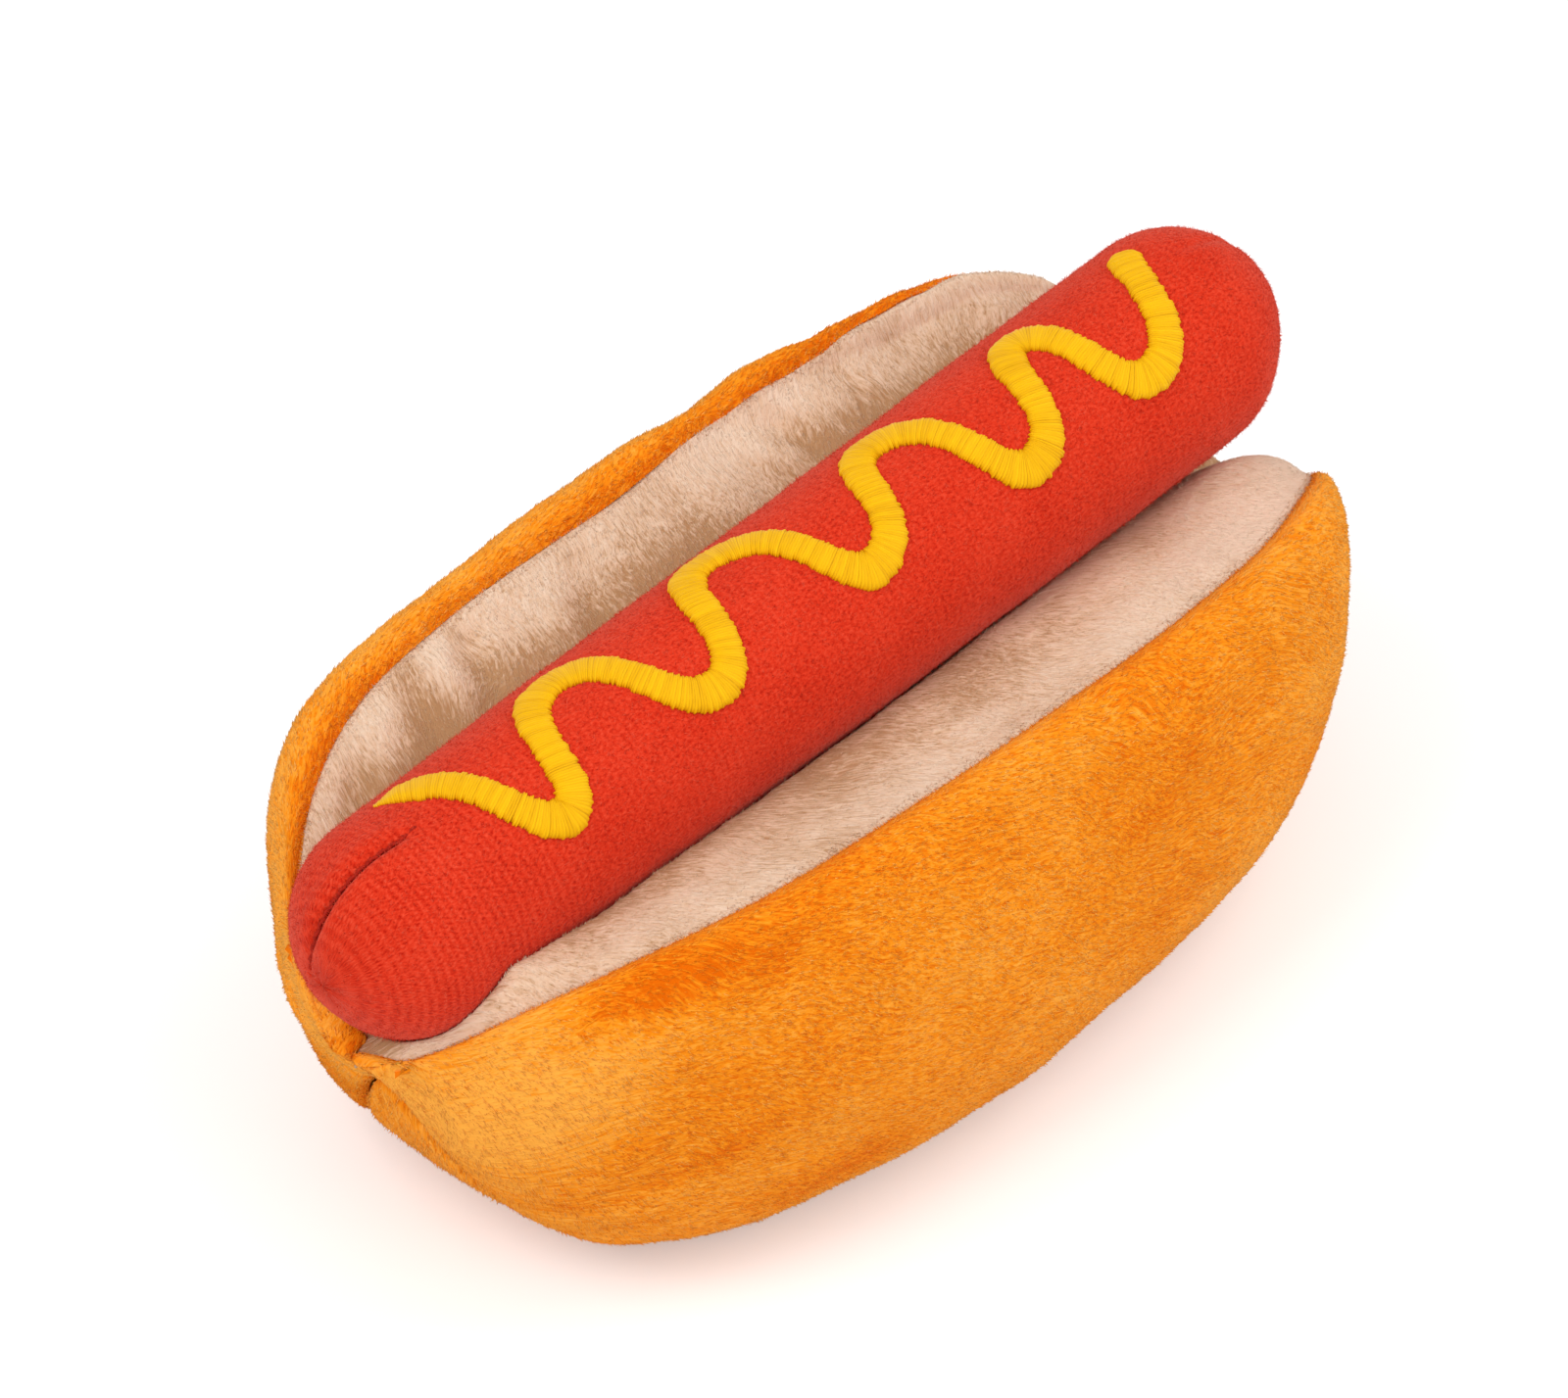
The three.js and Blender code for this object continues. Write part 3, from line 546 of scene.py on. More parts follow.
class Look(Graph):
    """A Principled material with values on its shader's own sockets."""

    def __init__(self, name, **values):
        self.mat = bpy.data.materials.new(name)
        self.mat.use_nodes = True
        super().__init__(self.mat.node_tree)
        self.skin = self.nodes["Principled BSDF"]
        for socket, value in values.items():
            self.skin.inputs[socket.replace("_", " ")].default_value = value

    def coloured(self, value, *stops):
        """Its colour, from a ramp over a value: stops are (place, colour)."""
        node = self.nodes.new("ShaderNodeValToRGB")
        while len(node.color_ramp.elements) < len(stops):
            node.color_ramp.elements.new(0.5)
        for element, (place, colour) in zip(node.color_ramp.elements, stops):
            element.position = place
            element.color = (*colour, 1)
        self.links.new(value, node.inputs["Fac"])
        self.links.new(node.outputs["Color"], self.skin.inputs["Base Color"])

    def bumped(self, height, depth, strength=1.0):
        """A Bump node of a depth in metres on its normal. Returns the finished material."""
        bump = self.nodes.new("ShaderNodeBump")
        bump.inputs["Distance"].default_value = depth
        bump.inputs["Strength"].default_value = strength
        self.links.new(height, bump.inputs["Height"])
        self.links.new(bump.outputs["Normal"], self.skin.inputs["Normal"])
        return self.mat


def pile_cloth(name, deep, body, pale, sheen):
    """Short plush pile: squiggly dark marks where locks part, along the nap that the mesh stores in mm,
    over the tone that the mesh stores: slow changes where the pile leans another way, with painted
    shade and painted highlights."""
    look = Look(name, Roughness=0.95, Specular_IOR_Level=0.0, Sheen_Weight=0.12,
                Sheen_Roughness=0.45, Sheen_Tint=(*sheen, 1))
    nap = look.read("nap", "Vector")
    locks = look.pattern(nap, (0.42, 1.7, 1), 2.0, 0.55, 0.9)
    fine = look.pattern(nap, (0.95, 4.2, 1), 1.0, 0.5, 0.4)
    marks = look.added(look.times(locks, 0.72), look.times(fine, 0.28))
    lit = look.added(marks, look.times(look.read("tone_and_painted_light", "Fac"), 0.2))
    look.coloured(lit, (0.3, deep), (0.5, body), (0.72, pale))
    return look.bumped(marks, 0.0011, 0.6)


ROW_PITCH, STITCH_PITCH = 1.6, 0.95  # of the knit, in mm


def knit_fleece(name, dark, body, pale):
    """Brushed knit: pits in rows round the sausage, half hidden under a fuzzy mottle. The rows and
    the stitches stray, and how much the pits show is stored in the mesh."""
    look = Look(name, Roughness=0.95, Specular_IOR_Level=0.0, Sheen_Weight=0.3,
                Sheen_Roughness=0.4, Sheen_Tint=(1.0, 0.5, 0.4, 1))
    place = look.read("knit", "Vector")
    mottle = look.pattern(place, (1.3, 1.9, 1), 3.0, 0.7, 0.2)
    broad = look.pattern(place, (0.07, 0.07, 1), 2.0, 0.5, 0.0)
    warp = look.pattern(place, (0.5, 0.5, 1), 1.0, 0.5, 0.0)
    split = look.nodes.new("ShaderNodeSeparateXYZ")
    look.links.new(place, split.inputs[0])
    waves = []
    for output, pitch, stray in ((0, ROW_PITCH, 3.0), (1, STITCH_PITCH, 9.0)):
        even = look.times(split.outputs[output], 2 * math.pi / pitch)
        waves.append(look.math("COSINE", look.added(even, look.times(warp, stray)), 0))
    rows, stitches = waves
    pits = look.times(rows, look.added(look.times(stitches, 0.5), 0.5))
    worn = look.times(look.read("worn", "Fac"), -1.0)
    height = look.added(mottle, look.times(pits, worn))
    slow = look.times(look.math("SUBTRACT", broad, 0.5), 0.2)
    look.coloured(look.added(height, slow), (0.28, dark), (0.5, body), (0.74, pale))
    return look.bumped(height, 0.0006, 0.5)


def satin_thread(name, gap_shade, body, pale):
    """Satin stitches: each thread has its own tone, with painted shade in the gaps between threads
    and a painted highlight on its crown.
    """
    look = Look(name, Roughness=0.5, Specular_IOR_Level=0.25, Specular_Tint=(1.0, 0.8, 0.25, 1))
    tone_and_painted_light = look.read("tone_and_painted_light", "Fac")
    hairs = look.pattern(look.read("strand", "Vector"), (9.0, 0.5, 1), 1.0, 0.5, 0.2)
    lit = look.added(tone_and_painted_light, look.times(look.math("SUBTRACT", hairs, 0.5), 0.5))
    look.coloured(lit, (0.1, gap_shade), (0.45, body), (0.95, pale))
    return look.bumped(hairs, 0.00012, 0.6)


def grained(name, scale, detail, rough, twist, dark_stop, body_stop, depth, **values):
    """A look of one grain over the object's own places, as two colours and as relief."""
    look = Look(name, **values)
    place = look.nodes.new("ShaderNodeTexCoord").outputs["Object"]
    grain = look.pattern(place, scale, detail, rough, twist)
    look.coloured(grain, dark_stop, body_stop)
    return look.bumped(grain, depth)


def spun_thread(name, dark, body):
    """Sewing thread: a loose, fuzzy grain."""
    return grained(name, (2600, 2600, 2600), 2.0, 0.6, 0.3, (0.35, dark), (0.65, body), 0.0002,
                   Roughness=0.85, Specular_IOR_Level=0.08)


def moulded(name, dark, body, rough, shine):
    """Moulded plastic: one colour with faint cloudiness and a slightly uneven surface."""
    return grained(name, (240, 240, 240), 3.0, 0.55, 0.2, (0.3, dark), (0.7, body), 0.0001,
                   Roughness=rough, Specular_IOR_Level=shine)


def fibre_tints(cloth, sheen, *colours):
    """Three shades of a cloth's loose fibres."""
    return [Look(f"{cloth}_{tint}", Base_Color=(*colour, 1), Roughness=0.9, Specular_IOR_Level=0.0,
                 Sheen_Weight=0.15, Sheen_Roughness=0.4, Sheen_Tint=(*sheen, 1)).mat
            for tint, colour in zip(("deep", "body", "pale"), colours)]


ORANGE_SHEEN, CREAM_SHEEN, RED_SHEEN = (1.0, 0.6, 0.25), (1.0, 0.9, 0.8), (1.0, 0.4, 0.3)
ORANGE = pile_cloth("orange_pile", (0.74, 0.13, 0.002), (0.90, 0.27, 0.009), (0.97, 0.41, 0.055),
                    ORANGE_SHEEN)
# The cream's deep colour also serves as the painted shade by the valley and the sausage
CREAM = pile_cloth("cream_pile", (0.46, 0.25, 0.12), (0.72, 0.485, 0.325), (0.80, 0.60, 0.45),
                   CREAM_SHEEN)
RED = knit_fleece("red_knit", (0.46, 0.011, 0.004), (0.68, 0.037, 0.013), (0.78, 0.072, 0.033))
# Its first colour is the painted shade of the gaps, the band's edges and its underside
YELLOW = satin_thread("yellow_thread", (0.52, 0.22, 0.0005), (0.78, 0.39, 0.001), (0.88, 0.50, 0.003))
ORANGE_THREAD = spun_thread("orange_thread", (0.55, 0.14, 0.008), (0.78, 0.27, 0.02))
RED_THREAD = spun_thread("red_thread", (0.26, 0.012, 0.006), (0.48, 0.025, 0.012))
FIBRE = grained("fibre", (500, 160, 900), 4.0, 0.7, 2.5, (0.3, (0.62, 0.61, 0.58)),
                (0.6, (0.9, 0.89, 0.86)), 0.0012, Roughness=0.85, Specular_IOR_Level=0.3,
                Sheen_Weight=0.4)
BACKING = grained("backing", (900, 1500, 900), 4.0, 0.7, 1.5, (0.35, (0.7, 0.69, 0.66)),
                  (0.6, (0.88, 0.87, 0.85)), 0.0002, Roughness=0.8, Specular_IOR_Level=0.3)
BULB = moulded("squeaker_bulb", (0.8, 0.79, 0.7), (0.88, 0.87, 0.8), 0.42, 0.45)
INSERT = moulded("squeaker_insert", (0.6, 0.6, 0.58), (0.72, 0.72, 0.7), 0.3, 0.5)

# Loose fibres: their three shades and the slot of their cloth
ORANGE_PILE = (fibre_tints("orange_pile", ORANGE_SHEEN, (0.84, 0.20, 0.004), (0.92, 0.295, 0.016),
                           (0.97, 0.43, 0.075)), "orange_pile")
CREAM_PILE = (fibre_tints("cream_pile", CREAM_SHEEN, (0.63, 0.395, 0.235), (0.74, 0.51, 0.345),
                          (0.80, 0.60, 0.45)), "cream_pile")
RED_FUZZ = (fibre_tints("red_knit", RED_SHEEN, (0.54, 0.02, 0.007), (0.70, 0.043, 0.016),
                        (0.82, 0.11, 0.06)), "red_knit")


def dress(obj, mats, slot):
    """Gives a piece its materials; the slot is not used."""
    for mat in mats if isinstance(mats, list) else [mats]:
        obj.data.materials.append(mat)


def opens(obj):
    """Bakes a piece's placement into its mesh."""
    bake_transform(obj)


# Pile

FLOOR_ROOM = 0.05  # between the floor and the fibres' tips
SHADE_LIMITS = (-0.45, 0.25)  # levels between the three shades of fibre


def nap_places(u, v, turn, seed):
    """Places along and across the nap, in mm: turned by an angle and pushed about by slow lumps."""
    c, s = math.cos(math.radians(turn)), math.sin(math.radians(turn))
    along = c * u + s * v + layered(u, v, seed, ((5, 24, 20), (1.6, 8, 7)))
    across = c * v - s * u + layered(u, v, seed + 2, ((4.5, 26, 22), (1.4, 7, 8)))
    return np.stack([along, across, np.full_like(u, seed)], -1)


def plush(u, v, seed):
    """Height of the pile in mm: broad dents, middling lumps and two sizes of short locks."""
    return layered(u, v, seed, ((0.55, 34, 30), (0.28, 14, 13), (0.09, 3.1, 1.7), (0.06, 1.9, 1.2)))


def gathers(u, d, seed, pitch, reach, depth):
    """Puckers square to a seam: lumps along it that die out with the distance d from it."""
    return depth * lumps(u / pitch, d / 40, seed) * np.exp(-d / reach)


def edged(rise, edge, calm, height, roll, sunk):
    """A cloth's relief, calmed within calm mm of its edges, where the cloth also rolls down: the
    whole of it stands height over the edge, less what it is sunk."""
    return rise * eased(edge / calm) + height * (1 - np.exp(-edge / roll)) - sunk


def at_edge(distance, width):
    """1 at an edge, falling to 0 at width mm from it."""
    return np.clip(1 - distance / width, 0, 1) ** 2


def napped(piece, nap, tone_and_painted_light, mat, slot):
    """Stores a cloth's nap and tone, painted shade and painted highlights included, for each point, and
    gives it its look.
    """
    mark(piece, "nap", nap.reshape(-1, 3))
    mark(piece, "tone_and_painted_light", tone_and_painted_light.ravel())
    dress(piece, mat, slot)


def pick(grid, count_per_mm2, rng):
    """Random places on a grid, evenly by area: row, column and the two shares inside each cell."""
    across, down = grid[:-1, 1:] - grid[:-1, :-1], grid[1:, :-1] - grid[:-1, :-1]
    density = np.broadcast_to(count_per_mm2, grid.shape[:2])[:-1, :-1]
    wanted = np.linalg.norm(np.cross(across, down), axis=2) * density
    total = np.cumsum(wanted.ravel())
    cell = np.searchsorted(total, rng.random(int(total[-1])) * total[-1])
    i, j = np.divmod(cell, wanted.shape[1])
    return i, j, rng.random(len(i)), rng.random(len(i))


def between(field, i, j, f, g):
    """A field's values inside cells, from their four corners."""
    if field.ndim > 2:
        f, g = f[:, None], g[:, None]
    low = field[i, j] * (1 - g) + field[i, j + 1] * g
    return low * (1 - f) + (field[i + 1, j] * (1 - g) + field[i + 1, j + 1] * g) * f


def shaded(piece, level, kind):
    """Deals each fibre, of four faces, one of its kind's shades: the higher its level, the lighter."""
    shade = np.digitize(level, SHADE_LIMITS)
    piece.data.polygons.foreach_set("material_index", np.tile(shade, 4).astype(np.int32))
    dress(piece, *kind)
    return piece


def on_half(name, root, tip, width, sideways, side):
    """Fibres given for the back half, on the half of a side, with their tips above the floor."""
    tip[:, 2] = np.maximum(tip[:, 2], FLOOR_ROOM)
    flip = np.array([1, side, 1])
    return spikes(name, root * flip, tip * flip, width, sideways * flip)


def pile(name, grid, normal, side, turn, tone_and_painted_light, density, size, kind, seed):
    """Locks of pile all over a cloth: spikes of a length and width in mm that lean off the surface
    by an angle and lie along the nap, which turns from the grid's rows by turn degrees."""
    rng = np.random.default_rng(seed)
    i, j, f, g = pick(grid, density, rng)
    count = len(i)
    root, up = between(grid, i, j, f, g), unit(between(normal, i, j, f, g))
    lie = np.radians(between(turn, i, j, f, g) + rng.normal(0, 14, count))[:, None]
    row = unit(grid[i, j + 1] - grid[i, j])
    down = unit(grid[i + 1, j] - grid[i, j])
    along = unit(np.cos(lie) * row + np.sin(lie) * down)
    length, width, lean = size
    lift = np.radians(rng.normal(lean, 6, count))[:, None]
    reach = (length * rng.uniform(0.6, 1.3, count))[:, None]
    tip = root + reach * (np.cos(lift) * along + np.sin(lift) * up)
    widths = width * rng.uniform(0.6, 1.2, count)
    # The fibres' shades follow the cloth's tone, painted shade and painted highlights included, with a
    # random share
    level = 1.1 * between(tone_and_painted_light, i, j, f, g) + rng.normal(0.05, 0.42, count)
    return shaded(on_half(name, root - 0.15 * up, tip, widths, up, side), level, kind)


def fringe(name, grid, normal, side, way, per_mm, size, kind, seed):
    """Fibres along a seam that lean over it: spikes rooted in its last rows, pointing up and across,
    way 1 down the grid's rows or -1 up them."""
    rng = np.random.default_rng(seed)
    line = grid[0] if way < 0 else grid[-1]
    total = np.cumsum(np.linalg.norm(np.diff(line, axis=0), axis=1))
    j = np.searchsorted(total, rng.random(int(total[-1] * per_mm)) * total[-1])
    j = np.minimum(j, grid.shape[1] - 2)
    count = len(j)
    i = rng.integers(0, grid.shape[0] - 1, count)
    f, g = rng.random(count), rng.random(count)
    root, up = between(grid, i, j, f, g), unit(between(normal, i, j, f, g))
    over = way * unit(grid[i + 1, j] - grid[i, j])
    row = unit(grid[i, j + 1] - grid[i, j])
    length, width = size
    lean = rng.uniform(0.2, 0.9, count)[:, None]
    aim = unit(lean * over + (1.1 - lean) * up + rng.normal(0, 0.35, count)[:, None] * row)
    tip = root + (length * rng.uniform(0.5, 1.2, count))[:, None] * aim
    widths = width * rng.uniform(0.6, 1.2, count)
    level = rng.normal(-0.2, 0.5, count)
    return shaded(on_half(name, root - 0.1 * up, tip, widths, row, side), level, kind)


# Side panels. Each row of a table of creases or spots is (x, height or way down the panel, radius
# along, radius across, turn in degrees, height or tone).
CRUST_SEEDS = {-1: 20, 1: 60}
CRUST_NAP_TURNS = {-1: 26, 1: 12}
CRUST_LOCKS = (1.2, 0.19, 12)  # length, width and lean
LIP_FIBRES, HEM_FIBRES = (0.9, 0.11), (0.65, 0.12)  # length and width
EDGE_ROWS = 4  # of a grid, in which a fringe is rooted
BACK_CREASES = ((-97.5, 38, 9, 1.5, 18, -1.7), (-97.5, 43, 9, 3.2, 18, 0.8))
FRONT_CREASES = ((-88, 22, 14, 2.4, -38, -0.6),)
HEM_CREASE_PLACES = (-0.9, -0.8, -0.53, -0.38)  # band of places a along the front half
FRONT_SPOTS = ((-74, 9, 13, 5, 10, -0.9), (-86, 9, 8, 4, 0, -0.6), (-60, 14, 8, 3, -35, -0.5),
               (-70, 47, 16, 4, -10, -0.5), (-46, 68, 14, 5, 5, -0.7), (20, 30, 26, 9, -20, -0.35),
               (-97, 20, 14, 16, 0, 1.3), (60, 70, 25, 8, 10, 0.5), (-20, 85, 60, 7, 0, 0.45))
BACK_SPOTS = ((-100, 26, 7, 12, 0, 0.5),)


def crust_piece(word, side):
    """Side panel: the rib surface with its edges rolled into the seams, dented and napped."""
    seed = CRUST_SEEDS[side]
    a, share = np.meshgrid(stations(CRUST_COLS + 1), np.linspace(0, 1, CRUST_ROWS + 1))
    first = seam_shift(a, side)
    flat = bun_surface(a, first + share * (rib_length(a) - first), side)
    x, z = flat[..., 0], flat[..., 2]
    normal = facing(flat)
    down, along = arcs(flat, 0), arcs(flat, 1)
    up = down[-1:] - down
    end = np.minimum(along, along[:, -1:] - along)
    edge = np.minimum(np.minimum(down, up), end)

    rise = plush(x, down, seed)
    rise += gathers(x, down, seed + 5, 7.0, 9.0, 0.45)
    rise += gathers(x, up, seed + 6, 6.0, 8.0, 0.5)
    rise = edged(rise, edge, 9, 0.4, 0.6, 0.15)
    # Tone: slow random changes of the pile, with painted shade within about a mm of the seams and ends
    tone_and_painted_light = layered(x, down, seed + 8, ((0.3, 24, 18), (0.2, 7, 6))) - 0.2 * np.exp(-edge / 1.2)
    if side > 0:
        slimmer = course(a, BACK_SLIMMER) * band(down, *SLIMMER_RUN)
        rise += mounds(x, z, BACK_CREASES)
        rise += 0.5 * gathers(x, down, seed + 9, 16.0, 14.0, 1.5)
        # Back rim: painted shade just under the lip seam, and a painted highlight along the rim's crest
        tone_and_painted_light += mounds(x, down, BACK_SPOTS) - 0.35 * np.exp(-down / 3) + 0.5 * band(down, 2, 6, 16, 26)
    else:
        slimmer = course(a, FRONT_SLIMMER) * band(up, *SLIMMER_RUN)
        creased = band(a, *HEM_CREASE_PLACES)
        rise += mounds(x, z, FRONT_CREASES)
        rise -= creased * (0.8 * ridge(up, 5.5, 0.9) - 0.3 * ridge(up, 3, 1.6))
        tone_and_painted_light += mounds(x, down, FRONT_SPOTS)
        # Painted light: lighter toward the right end, and lighter low on the front near the base seam, as
        # light thrown up from the floor
        tone_and_painted_light += 0.35 * eased((x - 10) / 70) + 0.3 * (1 - eased((up - 8) / 16))
        # Painted shade in the hem crease, and a painted highlight on the roll below it
        tone_and_painted_light += creased * (0.5 * eased((5.5 - up) / 1.5) - 0.6 * ridge(up, 5.7, 0.7))

    # The edges are drawn toward their seams, and the ends to the centre plane
    climb = np.clip(np.abs(first[:1, :, None]) / 2, 0, 1)
    seam_top = (1 - climb) * (beside(lip_line, a[:1], 0.8) - lip_line(a[:1]))
    seam_top = seam_top - climb * 0.8 * unit(flat[2:3] - flat[:1])
    seam_low = beside(base_line, a[:1], 0.85) - flat[-1:]
    outer = flat + normal * (rise - slimmer)[..., None]
    for distance, shift, width, sink in ((down, seam_top, 1.5, 0.3), (up, seam_low, 1.8, 0.5)):
        outer = outer + at_edge(distance, width)[..., None] * (shift - normal * sink)
    tuck = at_edge(end, 1.8)
    outer[..., 1] = np.maximum(outer[..., 1] - tuck * (SEAM_GAP - PLANE_ROOM), PLANE_ROOM)
    outer[..., 0] -= tuck * np.sign(a) * 0.6
    outer[..., 2] = np.maximum(outer[..., 2], 0.25)

    cut = slice(None, None, CRUST_INNER_STEP)
    swing = np.abs(a[cut, :, None]) ** END_TURN_POWER
    to_end = np.stack([np.sign(a[cut]), 0 * a[cut], 0 * a[cut]], -1)
    inward = unit(normal[cut] * (1 - swing) + to_end * swing)
    inner = flat[cut] - inward * (CLOTH + 0.6 * slimmer[cut, :, None])
    inner[..., 1] = np.maximum(inner[..., 1], SEAM_GAP)
    flip = (1, side, 1)
    piece = closed_sheet(f"{word}_crust_cloth", outer * flip, inner * flip)
    turn = CRUST_NAP_TURNS[side]
    napped(piece, nap_places(x, down, turn, seed), tone_and_painted_light, ORANGE, "orange_pile")
    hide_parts(f"bun_{word}_crust")
    opens(piece)

    sway = turn + 26 * lumps(x / 17, down / 14, seed + 11)
    opens(pile(f"{word}_crust_pile", outer, normal, side, sway, tone_and_painted_light, 2.1, CRUST_LOCKS,
               ORANGE_PILE, seed))
    opens(fringe(f"{word}_lip_pile", outer[:EDGE_ROWS], normal[:EDGE_ROWS], side, -1, 9, LIP_FIBRES,
                 ORANGE_PILE, seed + 1))
    opens(fringe(f"{word}_hem_pile", outer[-EDGE_ROWS:], normal[-EDGE_ROWS:], side, 1, 6, HEM_FIBRES,
                 ORANGE_PILE, seed + 2))


# Inner faces. Each row of a table of folds or mounds is (x, distance from the centre plane, radius
# along, radius across, turn in degrees, height).
CRUMB_SEEDS = {-1: 100, 1: 140}
CRUMB_NAP_TURN = 68
CRUMB_ENDS = {-1: (-0.986, 0.978), 1: (-0.962, 0.978)}  # places a of its first and last points
CRUMB_LOCKS = (0.65, 0.13, 18)
CRUMB_LIP_FIBRES = (0.8, 0.09)
HIDDEN_ROWS = 6  # of the grid under the sausage, which carry no pile
FIELD_OFFSET = 40  # added across, so that one field serves both halves
SKIN_ROOM = 0.12  # between the pressed cloth and the sausage
BACK_FOLDS = ((-51, 34, 3.4, 13, -17, 2.0), (-44, 33, 2.8, 9, -17, -1.3), (-58, 31, 3.6, 12, -17, -2.0),
              (-70, 29, 3.4, 9, -30, 1.2), (-78, 25, 4, 8, -30, -1.6), (-26, 33, 3.4, 10, -30, 0.9),
              (-20, 31, 3, 9, -30, -0.8), (5, 34, 3.5, 9, -10, -0.7), (31, 36, 2.6, 10, 20, -1.3),
              (25, 34, 2.8, 10, 20, 1.0), (48, 33, 3, 9, 15, -0.7))
FRONT_FOLDS = ((-94, 17, 2.2, 6, -30, -0.8), (-89, 18, 2.2, 6, -30, 0.6), (10, 27, 5, 9, 25, -0.7),
               (46, 24, 4, 10, 20, 0.5), (54, 27, 3, 8, 20, -0.6))
FRONT_MOUNDS = ((-91, 19, 10, 7, 0, 3.4), (80, 15, 15, 8, 0, 2.2))
FRONT_END_MOUNDS = ((-102, 7, 7, 6, 0, 2.8),)


def crumb_piece(word, side):
    """Inner face of a half, from the valley's middle to the lip seam, pressed by the sausage,
    with soft folds across it and its outer edge rolled into the seam."""
    seed = CRUMB_SEEDS[side]
    start, end = CRUMB_ENDS[side]
    a = (stations(CRUMB_COLS + 1) + 1) / 2 * (end - start) + start
    a, share = np.meshgrid(a, np.linspace(0, 1, CRUMB_ROWS + 1))
    reach = np.maximum(inset(lip_line, a, 0.6)[..., 1] + seam_shift(a, side), 0.5)
    flat = bun_surface(a, share * reach - lip_line(a)[..., 1], side)
    x, y = flat[..., 0], flat[..., 1]
    flat[..., 2] -= TACK_ROOM * strip(y)
    across = arcs(flat, 0)
    out = across[-1:] - across
    edge = np.minimum(out, np.minimum(x - x[:, :1], x[:, -1:] - x) * 0.7)
    free = eased((y - 9) / 9)
    signed = y * side

    rise = layered(x, signed, 101, ((0.5, 22, 20), (0.22, 8, 9), (0.07, 2.6, 1.6), (0.05, 1.6, 1.1)),
                   FIELD_OFFSET)
    rise += gathers(x, out, seed + 5, 6.5, 7.0, 0.5)
    folds = free * mounds(x, y, BACK_FOLDS if side > 0 else FRONT_FOLDS)
    tone_and_painted_light = layered(x, signed, 107, ((0.5, 18, 14), (0.3, 6, 5)), FIELD_OFFSET)
    # Painted shade: darker down in the valley and under the sausage, lighter toward the lip; the folds
    # painted lighter on their ridges and darker in their hollows; and a painted highlight along the rolled
    # edges
    tone_and_painted_light += 0.9 * eased((share - 0.42) / 0.45) - 0.75 - 0.3 * (1 - free) + 0.5 * folds
    tone_and_painted_light += 0.2 * np.exp(-edge / 1.5)
    if side > 0:
        # Back: painted light, lighter toward the right end, and painted shade over the left and middle,
        # from the sausage up to near the lip
        tone_and_painted_light += 0.2 * eased((x + 40) / 60)
        tone_and_painted_light -= (1 - eased((share - 0.6) / 0.3)) * (1 - eased((x - 40) / 60))
    else:
        rise += mounds(x, y, FRONT_MOUNDS)
        # Front: painted light, lighter toward the right end
        tone_and_painted_light += 0.9 * eased((x + 30) / 100)

    outer = flat.copy()
    outer[..., 2] += edged((rise + folds) * (0.25 + 0.75 * free), edge, 6, 0.3 * free, 0.5, -0.05)
    if side < 0:
        outer[..., 2] += mounds(x, y, FRONT_END_MOUNDS) * (1 - np.exp(-edge / 1.2))
    outer[..., 2] = under_sausage(x, y, outer[..., 2], SAUSAGE_RADIUS + SKIN_ROOM)
    outer[..., 2] -= 0.12 * at_edge(out, 1.2)
    inner = flat[::CRUMB_INNER_STEP].copy()
    inner[..., 2] -= CRUMB_CLOTH
    flip = (1, side, 1)
    piece = closed_sheet(f"{word}_crumb_cloth", outer * flip, inner * flip)
    napped(piece, nap_places(x, signed, CRUMB_NAP_TURN * side, 101), tone_and_painted_light, CREAM, "cream_pile")
    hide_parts(f"{word}_crumb", "crumb_valley_strip")
    opens(piece)

    up = facing(outer)
    sway = 64 + layered(x, signed, 111, ((22, 15, 13), (34, 1.9, 1.9)), FIELD_OFFSET)
    shown = slice(HIDDEN_ROWS, None)
    opens(pile(f"{word}_crumb_pile", outer[shown], up[shown], side, sway[shown], tone_and_painted_light[shown], 2.6,
               CRUMB_LOCKS, CREAM_PILE, seed))
    opens(fringe(f"{word}_crumb_lip_pile", outer[-EDGE_ROWS:], up[-EDGE_ROWS:], side, 1, 9,
                 CRUMB_LIP_FIBRES, CREAM_PILE, seed + 1))


BASE_SEED = 80
BASE_NAP_TURN = 4
BASE_LOCKS = (1.3, 0.18, 15)
BARE_HEIGHT, FULL_HEIGHT = 0.6, 2.1  # over the floor, between which the base's pile sets in


